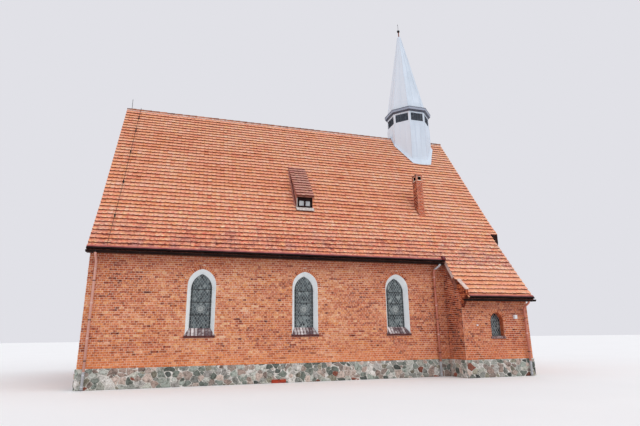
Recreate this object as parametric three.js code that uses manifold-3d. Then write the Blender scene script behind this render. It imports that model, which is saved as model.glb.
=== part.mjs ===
// Village church of brick on a fieldstone plinth, with a steep tiled roof, a catslide annex and a
// ridge turret. Units are millimetres, +Z is up. The long wall with three windows faces -Y, and the
// annex stands at its +X end. Sizes below are measured from the outer corner of the nave at its west
// front. The whole church is moved at the end, so that the origin is the middle of the nave's
// footprint, at ground level.
import * as THREE from 'three';
import { mergeVertices } from 'three/addons/utils/BufferGeometryUtils.js';
import Module from 'manifold-3d';

const wasm = await Module();
wasm.setup();

// Driving dimensions
const LENGTH = 16750;
const WIDTH = 9940;
const WALL = 510;
const GAP = 0.3;
const PLINTH_TOP = 660;
const PLINTH_PROUD = 25;
const FLOOR_TOP = 300;

// Roof: outer surface of the tiles
const RIDGE_Z = 12520;
const KINK_Y = 1243;
const KINK_Z = 6790;
const EAVES_OUT = 378;
const EAVES_Z = 4563;
const SOFFIT_DROP = 120;
const ROOF_THICK = 240;
const VERGE_OUT = 70;
const GABLE_VERGE_OUT = 470;
const GABLE_VERGE_FOOT_Y = 760;
const BRACKET_DROP = 600;
const BRACKET_THICK = 220;
const BRACKET_FOOT = 60;

// Annex under the same roof slope, which runs on down over it
const ANNEX_X = 13700;
const ANNEX_OUT = 1150;
const ANNEX_VERGE_X = 13600;
const KNEELER = { width: 120, frontY: -1515, backY: -950, frontTop: 3330, frontFoot: 3080 };

// Windows: a splayed reveal, the glazing in a rebate, and a splay inside
const WINDOW_FIRST = 3800;
const WINDOW_STEP = 3850;
const WINDOW = { outer: 1000, light: 760, sill: 1690, lightSill: 1910, apex: 4020, lightApex: 3870 };
const SMALL_WINDOW = { outer: 600, light: 600, sill: 1490, lightSill: 1510, apex: 2450, lightApex: 2450 };
const SMALL_WINDOW_X = 15240;
const GABLE_WINDOW_LIFT = 4100;
const REVEAL = 230;
const REBATE = 30;
const REBATE_DEPTH = 60;
const DOOR = {
  outer: 1840, light: 1600, sill: FLOOR_TOP, lightSill: FLOOR_TOP, apex: 3300, lightApex: 3180,
};
const SIDE_WINDOWS = 3;
const BACK_WINDOWS = 4;
const EAST_WINDOWS = 2;
const STEP_RISE = 150;
const STEP_GOING = 350;
const STEP_WIDTH = 2400;

// Gutters and downpipes
const GUTTER_R = 75;
const GUTTER_SHEET = 5;
const GUTTER_DROP = 60;
const PIPE_R = 50;
const PIPE_OUT = 100;
const WEST_PIPE_X = 240;
const CORNER_PIPE_X = 13190;
const CORNER_OUTLET_X = 13300;
const FRONT_GUTTER_END = 13480;
const ANNEX_GUTTER_START = 13540;
const PIPE_COLLAR = 60;
const PIPE_NECK = 330;
const PIPE_FOOT = 20;

// Ridge turret
const TURRET_X = 15215;
const TURRET_R = 1195;
const TURRET_SHELL = 70;
const TURRET_FOOT_DROP = 3000;
const LOUVRE_THICK = 40;
const LANTERN_FOOT = 13200;
const LIGHTS_BOTTOM = 13320;
const LIGHTS_TOP = 13800;
const LIGHT_WIDTH = 750;
const CORNICE_BOTTOM = 13885;
const CORNICE_TOP = 14150;
const CORNICE_R = 1341;
const CORNICE_LIP = 90;
const CORNICE_FALL = 50;
const SPIRE_R = 1120;
const SPIRE_TIP_R = 85;
const SPIRE_TOP = 19500;
const SPIRE_LEAN = 0.032;
const SPIRE_LEAN_FROM = 12800;
const BALL_R = 85;
const BALL_Z = 19920;
const NECK_R = 30;
const FINIAL_TOP = 20460;

// Chimney and roof dormer
const CHIMNEY = { x0: 13495, x1: 13795, y0: 1320, y1: 1720, shoulder: 8650, top: 9050 };
const CHIMNEY_FLUE = { x: 190, y: 240 };
const CHIMNEY_RIM = 15;
const CHIMNEY_PLATE = 110;
const DORMER = { x0: 7640, x1: 8320, y: 1290, headZ: 7560, backY: 2900 };
const DORMER_FRAME = 60;
const DORMER_SILL = 190;
const DORMER_LINTEL = 250;
const DORMER_ROOF_THICK = 70;
const DORMER_ROOF_OUT = 60;
const DORMER_ROOF_LAP = 200;
const DORMER_PANE_BACK = 20;

// Lightning rod
const ROD = { x: 140, r: 10, top: 13070, seat: 60, seatTop: 20 };

const HALF = WIDTH / 2;
const CANT = Math.PI / 8;

// Materials
const brick = { color: 0xa3522f, roughness: 0.9, metalness: 0 };
const stone = { color: 0x8d857c, roughness: 0.9, metalness: 0 };
const tile = { color: 0xc9603a, roughness: 0.8, metalness: 0 };
const sheet = { color: 0xc3ced6, roughness: 0.45, metalness: 0.4 };
const glass = { color: 0x30383c, roughness: 0.2, metalness: 0 };
const gutterSteel = { color: 0x33261f, roughness: 0.5, metalness: 0.4 };
const pipeRed = { color: 0x9e4b3c, roughness: 0.5, metalness: 0.3 };
const timber = { color: 0x3b2a22, roughness: 0.8, metalness: 0 };
const concrete = { color: 0x9a948a, roughness: 0.9, metalness: 0 };

const church = new THREE.Group();

function add(name, geometry, finish) {
  const mesh = new THREE.Mesh(geometry, new THREE.MeshStandardMaterial(finish));
  mesh.name = name;
  church.add(mesh);
}

// Solids for joining and cutting
function solid(geometry) {
  const bare = geometry.clone();
  bare.deleteAttribute('normal');
  bare.deleteAttribute('uv');
  const merged = mergeVertices(bare, 1e-3);
  const vertProperties = new Float32Array(merged.attributes.position.array);
  const triVerts = new Uint32Array(merged.index.array);
  return new wasm.Manifold(new wasm.Mesh({ numProp: 3, vertProperties, triVerts }));
}

function geometryOf(manifold) {
  const mesh = manifold.getMesh();
  const geometry = new THREE.BufferGeometry();
  geometry.setAttribute('position', new THREE.BufferAttribute(Float32Array.from(mesh.vertProperties), 3));
  geometry.setIndex(Array.from(mesh.triVerts));
  return geometry;
}

function join(...geometries) {
  return geometryOf(geometries.map(solid).reduce((a, b) => a.add(b)));
}

function cut(geometry, ...tools) {
  return geometryOf(tools.map(solid).reduce((a, b) => a.subtract(b), solid(geometry)));
}

// Prisms: an outline carried along one axis
const AXIS_X = new THREE.Vector3(1, 0, 0);
const AXIS_Y = new THREE.Vector3(0, 1, 0);
const AXIS_Z = new THREE.Vector3(0, 0, 1);

function prism(outline, depth) {
  const shape = new THREE.Shape(outline.map(([u, v]) => new THREE.Vector2(u, v)));
  return new THREE.ExtrudeGeometry(shape, { depth, bevelEnabled: false, curveSegments: 1 });
}

// An outline of [y, z] points, carried from x0 to x1
function prismX(outline, x0, x1) {
  const turn = new THREE.Matrix4().makeBasis(AXIS_Y, AXIS_Z, AXIS_X);
  return prism(outline, x1 - x0).applyMatrix4(turn).translate(x0, 0, 0);
}

// An outline of [x, z] points, carried from y0 to y1
function prismY(outline, y0, y1) {
  const turn = new THREE.Matrix4().makeBasis(AXIS_X, AXIS_Z, AXIS_Y.clone().negate());
  return prism(outline, y1 - y0).applyMatrix4(turn).translate(0, y1, 0);
}

// An outline of [x, y] points, carried from z0 to z1
function prismZ(outline, z0, z1) {
  return prism(outline, z1 - z0).translate(0, 0, z0);
}

function box(x0, x1, y0, y1, z0, z1) {
  const block = new THREE.BoxGeometry(x1 - x0, y1 - y0, z1 - z0);
  return block.translate((x0 + x1) / 2, (y0 + y1) / 2, (z0 + z1) / 2);
}

// The other half of the church: the same outline seen across the middle line of the nave
const across = (outline) => outline.map(([y, z]) => [WIDTH - y, z]).reverse();

// Height of the roof's outer surface over a line at distance y from the front wall's face
function slope(y, [y0, z0], [y1, z1]) {
  return z0 + ((y - y0) * (z1 - z0)) / (y1 - y0);
}

const APEX = [HALF, RIDGE_Z];
const KINK = [KINK_Y, KINK_Z];
const EAVES = [-EAVES_OUT, EAVES_Z];

const upperZ = (y) => slope(y, KINK, APEX);
const lowerZ = (y) => (y > KINK_Y ? upperZ(y) : slope(y, EAVES, KINK));
const ANNEX_EAVES_Y = -ANNEX_OUT - EAVES_OUT;
const ANNEX_EAVES = [ANNEX_EAVES_Y, lowerZ(ANNEX_EAVES_Y)];

// Upright thickness of a roof slab of a given fall
function upright([y0, z0], [y1, z1]) {
  return ROOF_THICK * Math.hypot(1, (z1 - z0) / (y1 - y0));
}

const UPPER_DROP = upright(KINK, APEX);
const LOWER_DROP = upright(EAVES, KINK);

// Outlines under the roof, for the walls that carry it
const under = {
  upper: (y) => upperZ(y) - UPPER_DROP - GAP,
  lower: (y) => lowerZ(y) - LOWER_DROP - GAP,
};
// A wall's top passes under both slabs that meet at the kink, so it keeps to the lower of the two there
const KINK_UNDER = Math.min(under.upper(KINK_Y), under.lower(KINK_Y)) - 1;

// A pointed arch over upright jambs, from the sill up, as [u, z] points about the middle line
const ARCH_STEPS = 8;
const ARCH_RISE = 0.58;

function pointedArch(width, sill, apex) {
  const a = width / 2;
  const rise = width * ARCH_RISE;
  const radius = (a * a + rise * rise) / (2 * a);
  const spring = apex - rise;
  const sweep = Math.asin(rise / radius);
  const right = [];
  for (let i = 0; i <= ARCH_STEPS; i += 1) {
    const turn = (sweep * i) / ARCH_STEPS;
    right.push([a - radius + radius * Math.cos(turn), spring + radius * Math.sin(turn)]);
  }
  const left = right.slice(0, -1).map(([u, z]) => [-u, z]).reverse();
  return [[-a, sill], [a, sill], ...right, ...left];
}

// A closed solid between two outlines of as many points, at depths d0 and d1 behind the wall's face
function loft(near, d0, far, d1) {
  const count = near.length;
  const points = [...near.map(([u, z]) => [u, d0, z]), ...far.map(([u, z]) => [u, d1, z])];
  const cap = THREE.ShapeUtils.triangulateShape(near.map(([u, z]) => new THREE.Vector2(u, z)), []);
  const faces = [];
  for (const [a, b, c] of cap) faces.push(a, b, c, a + count, c + count, b + count);
  for (let i = 0; i < count; i += 1) {
    const j = (i + 1) % count;
    faces.push(i, i + count, j, j, i + count, j + count);
  }
  const geometry = new THREE.BufferGeometry();
  geometry.setAttribute('position', new THREE.Float32BufferAttribute(points.flat(), 3));
  geometry.setIndex(faces);
  return geometry;
}

// What is cut from a wall for a window or door: splay, rebate and inner splay
function openingTool(w) {
  const face = pointedArch(w.outer, w.sill, w.apex);
  const light = pointedArch(w.light, w.lightSill, w.lightApex);
  const rebate = rebateOutline(w, 0);
  const inside = pointedArch(w.outer, w.lightSill, w.apex);
  const splay = loft(face, -1, light, REVEAL);
  const seat = loft(rebate, REVEAL, rebate, REVEAL + REBATE_DEPTH);
  const innerSplay = loft(light, REVEAL + REBATE_DEPTH - 1, inside, WALL + 1);
  return join(splay, seat, innerSplay);
}

function rebateOutline(w, clearance) {
  const bottom = w.lightSill === FLOOR_TOP ? FLOOR_TOP : w.lightSill - REBATE;
  const width = w.light + 2 * (REBATE - clearance);
  return pointedArch(width, bottom + clearance, w.lightApex + REBATE - clearance);
}

// The pane or door leaf that fills the rebate
function panel(w) {
  const outline = rebateOutline(w, GAP);
  return loft(outline, REVEAL + GAP, outline, REVEAL + REBATE_DEPTH - GAP);
}

// Turns a piece made for the front wall to face another way, and moves its middle to (x, y)
function facing(geometry, turn, x, y, lift = 0) {
  return geometry.clone().rotateZ(turn).translate(x, y, lift);
}

const SOUTH = 0;
const NORTH = Math.PI;
const WEST = -Math.PI / 2;
const EAST = Math.PI / 2;

const windows = [];
const windowX = (i) => WINDOW_FIRST + i * WINDOW_STEP;

function addWindow(name, wall, kind, turn, x, y, lift = 0) {
  windows.push({ name, wall, kind, turn, x, y, lift });
}

for (let i = 0; i < SIDE_WINDOWS; i += 1) {
  addWindow(`front_window_${i + 1}`, 'front', WINDOW, SOUTH, windowX(i), 0);
}
for (let i = 0; i < BACK_WINDOWS; i += 1) {
  addWindow(`back_window_${i + 1}`, 'back', WINDOW, NORTH, windowX(i), WIDTH);
}
addWindow('west_window', 'west', WINDOW, WEST, 0, HALF, GABLE_WINDOW_LIFT);
for (let i = 0; i < EAST_WINDOWS; i += 1) {
  const y = HALF + (i - (EAST_WINDOWS - 1) / 2) * WINDOW_STEP;
  addWindow(`east_window_${i + 1}`, 'east', WINDOW, EAST, LENGTH, y);
}
addWindow('annex_window', 'annex', SMALL_WINDOW, SOUTH, SMALL_WINDOW_X, -ANNEX_OUT);
const door = { name: 'west_door', wall: 'west', kind: DOOR, turn: WEST, x: 0, y: HALF };

const toolsFor = (wall) => [...windows, door]
  .filter((w) => w.wall === wall)
  .map((w) => facing(openingTool(w.kind), w.turn, w.x, w.y, w.lift));

function addPlinth() {
  const out = PLINTH_PROUD;
  const west = box(-out, WALL, -out, WIDTH + out, 0, PLINTH_TOP);
  const doorHalf = DOOR.outer / 2;
  const doorGap = box(-out - 1, WALL + 1, HALF - doorHalf, HALF + doorHalf, FLOOR_TOP, PLINTH_TOP + 1);
  add('plinth_west', cut(west, doorGap), stone);
  add('plinth_front', box(WALL + GAP, LENGTH - WALL - GAP, -out, WALL, 0, PLINTH_TOP), stone);
  add('plinth_back', box(WALL + GAP, LENGTH - WALL - GAP, WIDTH - WALL, WIDTH + out, 0, PLINTH_TOP), stone);
  add('plinth_east', box(LENGTH - WALL, LENGTH + out, -ANNEX_OUT - out, WIDTH + out, 0, PLINTH_TOP), stone);
  const annex = [
    [ANNEX_X - out, -ANNEX_OUT - out], [LENGTH - WALL - GAP, -ANNEX_OUT - out],
    [LENGTH - WALL - GAP, -ANNEX_OUT + WALL], [ANNEX_X + WALL, -ANNEX_OUT + WALL],
    [ANNEX_X + WALL, -out - GAP], [ANNEX_X - out, -out - GAP],
  ];
  add('plinth_annex', prismZ(annex, 0, PLINTH_TOP), stone);
}

function addFloors() {
  const inset = WALL + GAP;
  add('nave_floor', box(inset, LENGTH - inset, inset, WIDTH - inset, 0, FLOOR_TOP), concrete);
  const x0 = ANNEX_X + WALL + GAP;
  const y0 = -ANNEX_OUT + WALL + GAP;
  add('annex_floor', box(x0, LENGTH - inset, y0, -PLINTH_PROUD - GAP, 0, FLOOR_TOP), concrete);
}

// Section of a wall from y0 to y1, from the plinth to the underside of the lower roof slope
function wallSection(y0, y1) {
  const foot = PLINTH_TOP + GAP;
  return [[y0, foot], [y1, foot], [y1, under.lower(y1)], [y0, under.lower(y0)]];
}

function addWalls() {
  const x0 = WALL + GAP;
  const x1 = LENGTH - WALL - GAP;
  add('wall_front', cut(prismX(wallSection(0, WALL), x0, x1), ...toolsFor('front')), brick);
  add('wall_back', cut(prismX(across(wallSection(0, WALL)), x0, x1), ...toolsFor('back')), brick);

  const foot = PLINTH_TOP + GAP;
  const backKink = [WIDTH - KINK_Y, KINK_UNDER];
  const backHalf = [[WIDTH, foot], [WIDTH, under.lower(0)], backKink, [HALF, under.upper(HALF)]];
  const frontHalf = (y0) => [[KINK_Y, KINK_UNDER], [y0, under.lower(y0)]];
  const westOutline = [[0, foot], ...backHalf, ...frontHalf(0)];
  add('gable_west', cut(prismX(westOutline, 0, WALL), ...toolsFor('west')), brick);
  const eastOutline = [[-ANNEX_OUT, foot], ...backHalf, ...frontHalf(-ANNEX_OUT)];
  add('gable_east', cut(prismX(eastOutline, LENGTH - WALL, LENGTH), ...toolsFor('east')), brick);

  const westSide = wallSection(-ANNEX_OUT, -GAP);
  add('annex_wall_west', prismX(westSide, ANNEX_X, ANNEX_X + WALL), brick);
  const front = wallSection(-ANNEX_OUT, -ANNEX_OUT + WALL);
  const frontWall = prismX(front, ANNEX_X + WALL + GAP, x1);
  add('annex_wall_front', cut(frontWall, ...toolsFor('annex')), brick);
}

// Section of the lower roof slab, with its foot at the eaves cut level and upright
function lowerSlab([y0, z0]) {
  const soffit = z0 - SOFFIT_DROP;
  const bend = KINK_Y - GAP;
  const bendZ = lowerZ(bend);
  const soffitEnd = y0 + ((LOWER_DROP - SOFFIT_DROP) * (KINK_Y - y0)) / (KINK_Z - z0);
  return [[y0, z0], [y0, soffit], [soffitEnd, soffit], [bend, bendZ - LOWER_DROP], [bend, bendZ]];
}

// The verge of the upper gable hangs further out than the one below, and ends a little under the kink
function vergeFoot() {
  const y0 = GABLE_VERGE_FOOT_Y;
  const y1 = KINK_Y - GAP;
  return [[y0, lowerZ(y0)], [y0, lowerZ(y0) - LOWER_DROP], [y1, lowerZ(y1) - LOWER_DROP], [y1, lowerZ(y1)]];
}

function addRoof() {
  const top = HALF - GAP;
  const kinkSide = [[KINK_Y, KINK_Z], [KINK_Y, KINK_Z - UPPER_DROP]];
  const upper = [...kinkSide, [top, upperZ(top) - UPPER_DROP], [top, upperZ(top)]];
  const west = -VERGE_OUT;
  const east = LENGTH + VERGE_OUT;
  const gableEast = LENGTH + GABLE_VERGE_OUT;
  add('roof_front_upper', prismX(upper, west, gableEast), tile);
  add('roof_back_upper', prismX(across(upper), west, gableEast), tile);
  const nave = lowerSlab(EAVES);
  add('roof_front_lower', prismX(nave, west, ANNEX_VERGE_X - GAP), tile);
  const backFoot = prismX(across(vergeFoot()), east - 1, gableEast);
  add('roof_back_lower', join(prismX(across(nave), west, east), backFoot), tile);
  const annex = prismX(lowerSlab(ANNEX_EAVES), ANNEX_VERGE_X, east);
  const overFoot = ANNEX_EAVES_Y - 1;
  const corner = [ANNEX_VERGE_X - 1, ANNEX_X + KNEELER.width + GAP, overFoot, KNEELER.backY + GAP, 0, RIDGE_Z];
  add('roof_annex', cut(join(annex, prismX(vergeFoot(), east - 1, gableEast)), box(...corner)), tile);
}

// A brick kneeler that closes the foot of the annex's verge: corbelled out of the wall's corner, with a
// top that falls more gently than the roof
function addKneeler() {
  const k = KNEELER;
  const face = -ANNEX_OUT - GAP;
  const onWall = [face, k.backY].map((y) => [y, lowerZ(y) - LOWER_DROP]);
  const outline = [
    [face, k.frontFoot - 460], ...onWall, [k.backY, lowerZ(k.backY)],
    [k.frontY, k.frontTop], [k.frontY, k.frontFoot], [k.frontY + 155, k.frontFoot - 220],
  ];
  add('annex_kneeler', prismX(outline, ANNEX_X, ANNEX_X + k.width), brick);
}

// A timber bracket that carries the foot of the overhanging verge
function addBrackets() {
  const x0 = LENGTH + GAP;
  const x1 = LENGTH + GABLE_VERGE_OUT;
  const y0 = GABLE_VERGE_FOOT_Y;
  const y1 = y0 + BRACKET_THICK;
  const high = under.lower(y0);
  const low = high - BRACKET_DROP;
  const outline = [[y0, low], [y1, low], [y1, under.lower(y1)], [y0, high]];
  const wedge = [[x0 + BRACKET_FOOT, low - 1], [x1 + 1, low - 1], [x1 + 1, high - BRACKET_FOOT]];
  const waste = prismY(wedge, y0 - 1, WIDTH - y0 + 1);
  add('verge_bracket_front', cut(prismX(outline, x0, x1), waste), timber);
  add('verge_bracket_back', cut(prismX(across(outline), x0, x1), waste), timber);
}

// A half-round channel about (y, z), from x0 to x1, with closed ends
function channel(y, z, x0, x1) {
  const steps = 12;
  const arc = (r) => Array.from({ length: steps + 1 }, (_, i) => {
    const turn = Math.PI + (Math.PI * i) / steps;
    return [y + r * Math.cos(turn), z + r * Math.sin(turn)];
  });
  const outer = prismX(arc(GUTTER_R), x0, x1);
  const inner = arc(GUTTER_R - GUTTER_SHEET);
  const hollowOutline = inner.map(([v, w], i) => [v, i === 0 || i === steps ? w + 1 : w]);
  const hollow = prismX(hollowOutline, x0 + GUTTER_SHEET, x1 - GUTTER_SHEET);
  return cut(outer, hollow);
}

const gutterY = (out) => -out - EAVES_OUT - GUTTER_R - GAP;

// Round pipe of straight runs, with a ball at each bend that rounds the mitre
function pipeRuns(points, radius = PIPE_R) {
  const parts = [];
  for (let i = 1; i < points.length; i += 1) {
    const a = new THREE.Vector3(...points[i - 1]);
    const b = new THREE.Vector3(...points[i]);
    const run = new THREE.CylinderGeometry(radius, radius, a.distanceTo(b), 12);
    const turn = new THREE.Quaternion().setFromUnitVectors(AXIS_Y, b.clone().sub(a).normalize());
    run.applyQuaternion(turn).translate(...a.clone().add(b).multiplyScalar(0.5).toArray());
    parts.push(run);
    if (i > 1) parts.push(new THREE.SphereGeometry(radius, 12, 8).translate(...a.toArray()));
  }
  return parts.length === 1 ? parts[0] : join(...parts);
}

function addGutters() {
  const z = EAVES_Z - GUTTER_DROP;
  const annexZTop = ANNEX_EAVES[1] - GUTTER_DROP;
  const west = -VERGE_OUT;
  const east = LENGTH + VERGE_OUT;
  add('gutter_front', channel(gutterY(0), z, west, FRONT_GUTTER_END), gutterSteel);
  add('gutter_annex', channel(gutterY(ANNEX_OUT), annexZTop, ANNEX_GUTTER_START, east), gutterSteel);
  add('gutter_back', channel(WIDTH - gutterY(0), z, west, east), gutterSteel);

  const naveOutlet = z - GUTTER_R - GAP;
  const annexOutlet = annexZTop - GUTTER_R - GAP;
  const wallY = -PLINTH_PROUD - PIPE_OUT;
  const gy = gutterY(0);
  const annexGy = gutterY(ANNEX_OUT);
  const annexPipeX = LENGTH - WEST_PIPE_X;
  const pipe = (x0, x1, y0, y1, zTop) => pipeRuns([
    [x0, y0, zTop], [x0, y0, zTop - PIPE_COLLAR], [x1, y1, zTop - PIPE_NECK], [x1, y1, PIPE_FOOT],
  ]);
  add('downpipe_west', pipe(WEST_PIPE_X, WEST_PIPE_X, gy, wallY, naveOutlet), pipeRed);
  add('downpipe_corner', pipe(CORNER_OUTLET_X, CORNER_PIPE_X, gy, wallY, naveOutlet), pipeRed);
  add('downpipe_annex', pipe(annexPipeX, annexPipeX, annexGy, wallY - ANNEX_OUT, annexOutlet), pipeRed);
  add('downpipe_back', pipe(WEST_PIPE_X, WEST_PIPE_X, WIDTH - gy, WIDTH - wallY, naveOutlet), pipeRed);
}

function addWindowsAndDoor() {
  for (const w of windows) add(w.name, facing(panel(w.kind), w.turn, w.x, w.y, w.lift), glass);
  add(door.name, facing(panel(door.kind), door.turn, door.x, door.y), timber);
  const x = -PLINTH_PROUD - GAP;
  const lower = box(x - 2 * STEP_GOING, x, HALF - STEP_WIDTH / 2, HALF + STEP_WIDTH / 2, 0, STEP_RISE);
  const upper = box(x - STEP_GOING, x, HALF - STEP_WIDTH / 2, HALF + STEP_WIDTH / 2, 0, 2 * STEP_RISE);
  add('west_steps', join(lower, upper), concrete);
}

// The eight corners of the turret at a given reach from its axis
function octagon(r, cx = TURRET_X, cy = HALF) {
  return Array.from({ length: 8 }, (_, i) => {
    const turn = CANT + (i * Math.PI) / 4;
    return [cx + r * Math.cos(turn), cy + r * Math.sin(turn)];
  });
}

// A profile of [r, z] points turned into eight faces about the turret's axis
function eightSided(profile) {
  const lathe = new THREE.LatheGeometry(profile.map(([r, z]) => new THREE.Vector2(r, z)), 8);
  return lathe.rotateX(Math.PI / 2).rotateZ(CANT).translate(TURRET_X, HALF, 0);
}

// The same, leaning west the higher it goes
function leaning(profile) {
  const lean = new THREE.Matrix4().makeShear(0, 0, 0, 0, -SPIRE_LEAN, 0);
  return eightSided(profile).applyMatrix4(lean).translate(SPIRE_LEAN * SPIRE_LEAN_FROM, 0, 0);
}

// All that lies under the roof's outer surface, with a hair of clearance, between x0 and x1
function underRoof(x0, x1) {
  const edge = 200;
  const left = [[edge, 0], [edge, lowerZ(edge) + GAP], [KINK_Y, KINK_Z + GAP]];
  const right = across(left).reverse();
  return prismX([...right, [HALF, RIDGE_Z + GAP], ...left.reverse()], x0, x1);
}

function addTurret() {
  const foot = prismZ(octagon(TURRET_R), RIDGE_Z - TURRET_FOOT_DROP, LANTERN_FOOT - GAP);
  const roof = underRoof(TURRET_X - 2 * TURRET_R, TURRET_X + 2 * TURRET_R);
  add('turret_body', cut(foot, roof), sheet);

  const inner = TURRET_R - TURRET_SHELL;
  const shell = prismZ(octagon(TURRET_R), LANTERN_FOOT, CORNICE_BOTTOM);
  const hollow = prismZ(octagon(inner), LANTERN_FOOT - 1, CORNICE_BOTTOM + 1);
  const lights = [];
  for (let i = 0; i < 4; i += 1) {
    const reach = 2 * TURRET_R;
    const bar = box(-reach, reach, -LIGHT_WIDTH / 2, LIGHT_WIDTH / 2, LIGHTS_BOTTOM, LIGHTS_TOP);
    lights.push(bar.rotateZ((i * Math.PI) / 4).translate(TURRET_X, HALF, 0));
  }
  add('turret_lantern', cut(shell, hollow, ...lights), sheet);

  const drum = prismZ(octagon(inner - GAP), LANTERN_FOOT, CORNICE_BOTTOM - GAP);
  const drumHollow = prismZ(octagon(inner - GAP - LOUVRE_THICK), LANTERN_FOOT - 1, CORNICE_BOTTOM + 1);
  add('turret_louvres', cut(drum, drumHollow), timber);

  const b = CORNICE_BOTTOM + GAP;
  const t = CORNICE_TOP;
  const lip = b + CORNICE_LIP;
  const soffit = [[0, b], [TURRET_R + 60, b], [CORNICE_R - 20, lip], [CORNICE_R, lip]];
  const top = [[CORNICE_R, t - CORNICE_FALL], [SPIRE_R + 40, t], [0, t]];
  add('turret_cornice', eightSided([...soffit, ...top]), sheet);

  const s = CORNICE_TOP + GAP;
  const spire = [[0, s], [SPIRE_R, s], [SPIRE_TIP_R, SPIRE_TOP], [0, SPIRE_TOP]];
  add('turret_spire', leaning(spire), sheet);

  const f = SPIRE_TOP + GAP;
  const neck = [[0, f], [2 * NECK_R, f], [NECK_R, f + 60], [NECK_R, BALL_Z - BALL_R]];
  const ball = [-45, 0, 45].map((turn) => {
    const angle = THREE.MathUtils.degToRad(turn);
    return [BALL_R * Math.cos(angle), BALL_Z + BALL_R * Math.sin(angle)];
  });
  const rod = [[12, BALL_Z + BALL_R], [9, FINIAL_TOP], [0, FINIAL_TOP]];
  add('turret_finial', leaning([...neck, ...ball, ...rod]), sheet);
}

function addChimney() {
  const { x0, x1, y0, y1, shoulder, top } = CHIMNEY;
  const shaft = box(x0, x1, y0, y1, KINK_Z - 500, shoulder);
  add('chimney_shaft', cut(shaft, underRoof(x0 - 100, x1 + 100)), brick);
  const rim = CHIMNEY_RIM;
  const head = box(x0 - rim, x1 + rim, y0 - rim, y1 + rim, shoulder + GAP, top);
  const cx = (x0 + x1) / 2;
  const cy = (y0 + y1) / 2;
  const flueX = CHIMNEY_FLUE.x / 2;
  const flueY = CHIMNEY_FLUE.y / 2;
  const z0 = shoulder + CHIMNEY_PLATE;
  const z1 = top - CHIMNEY_PLATE;
  const alongX = box(x0 - 100, x1 + 100, cy - flueY, cy + flueY, z0, z1);
  const alongY = box(cx - flueX, cx + flueX, y0 - 100, y1 + 100, z0, z1);
  add('chimney_head', cut(head, alongX, alongY), brick);
}

function addDormer() {
  const { x0, x1, y, headZ, backY } = DORMER;
  const backZ = upperZ(backY);
  const body = prismX([[y, KINK_Z - 200], [backY, KINK_Z - 200], [backY, backZ], [y, headZ]], x0, x1);
  const roof = underRoof(x0 - 500, x1 + 500);
  const f = DORMER_FRAME;
  const sill = lowerZ(y) + DORMER_SILL;
  const head = headZ - DORMER_LINTEL;
  const light = box(x0 + f, x1 - f, y - 1, y + f, sill, head);
  add('dormer_body', cut(body, roof, light), timber);
  const out = DORMER_ROOF_OUT;
  const z = (v) => slope(v, [y, headZ], [backY, backZ]) + GAP;
  const front = y - 2 * out;
  const rear = backY + DORMER_ROOF_LAP;
  const thick = DORMER_ROOF_THICK;
  const slab = [[front, z(front)], [rear, z(rear)], [rear, z(rear) + thick], [front, z(front) + thick]];
  add('dormer_roof', cut(prismX(slab, x0 - out, x1 + out), roof), tile);
  const inset = f + GAP;
  const paneY = y + DORMER_PANE_BACK;
  const pane = box(x0 + inset, x1 - inset, paneY, y + f - GAP, sill + GAP, head - GAP);
  add('dormer_window', pane, glass);
}

function addRod() {
  const { x, r, top, seat, seatTop } = ROD;
  const block = box(x - seat, x + seat, HALF - seat, HALF + seat, RIDGE_Z - 200, RIDGE_Z + seatTop);
  const saddle = cut(block, underRoof(x - 100, x + 100));
  const foot = RIDGE_Z + seatTop / 2;
  const rod = new THREE.CylinderGeometry(r, r, top - foot, 10).rotateX(Math.PI / 2);
  add('lightning_rod', join(saddle, rod.translate(x, HALF, (top + foot) / 2)), gutterSteel);
}

addPlinth();
addFloors();
addWalls();
addRoof();
addKneeler();
addBrackets();
addGutters();
addWindowsAndDoor();
addTurret();
addChimney();
addDormer();
addRod();
church.position.set(-LENGTH / 2, -WIDTH / 2, 0);

export default church;
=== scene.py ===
# %% [markdown]
# # A village church, dressed over its built frame
# The church is a long nave of orange brick on a plinth of split fieldstones. A steep roof of clay
# tiles comes down over it, and lower still over a small annex, and a turret of pale sheet metal
# rides on the ridge. The walls, slabs, gutters and panes are already built and come in as a fixed
# frame. This lesson adds what the eye sees on them: bricks, tiles, stones, lead, seams, and the
# finish of every surface.

import math
from collections import namedtuple

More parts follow.
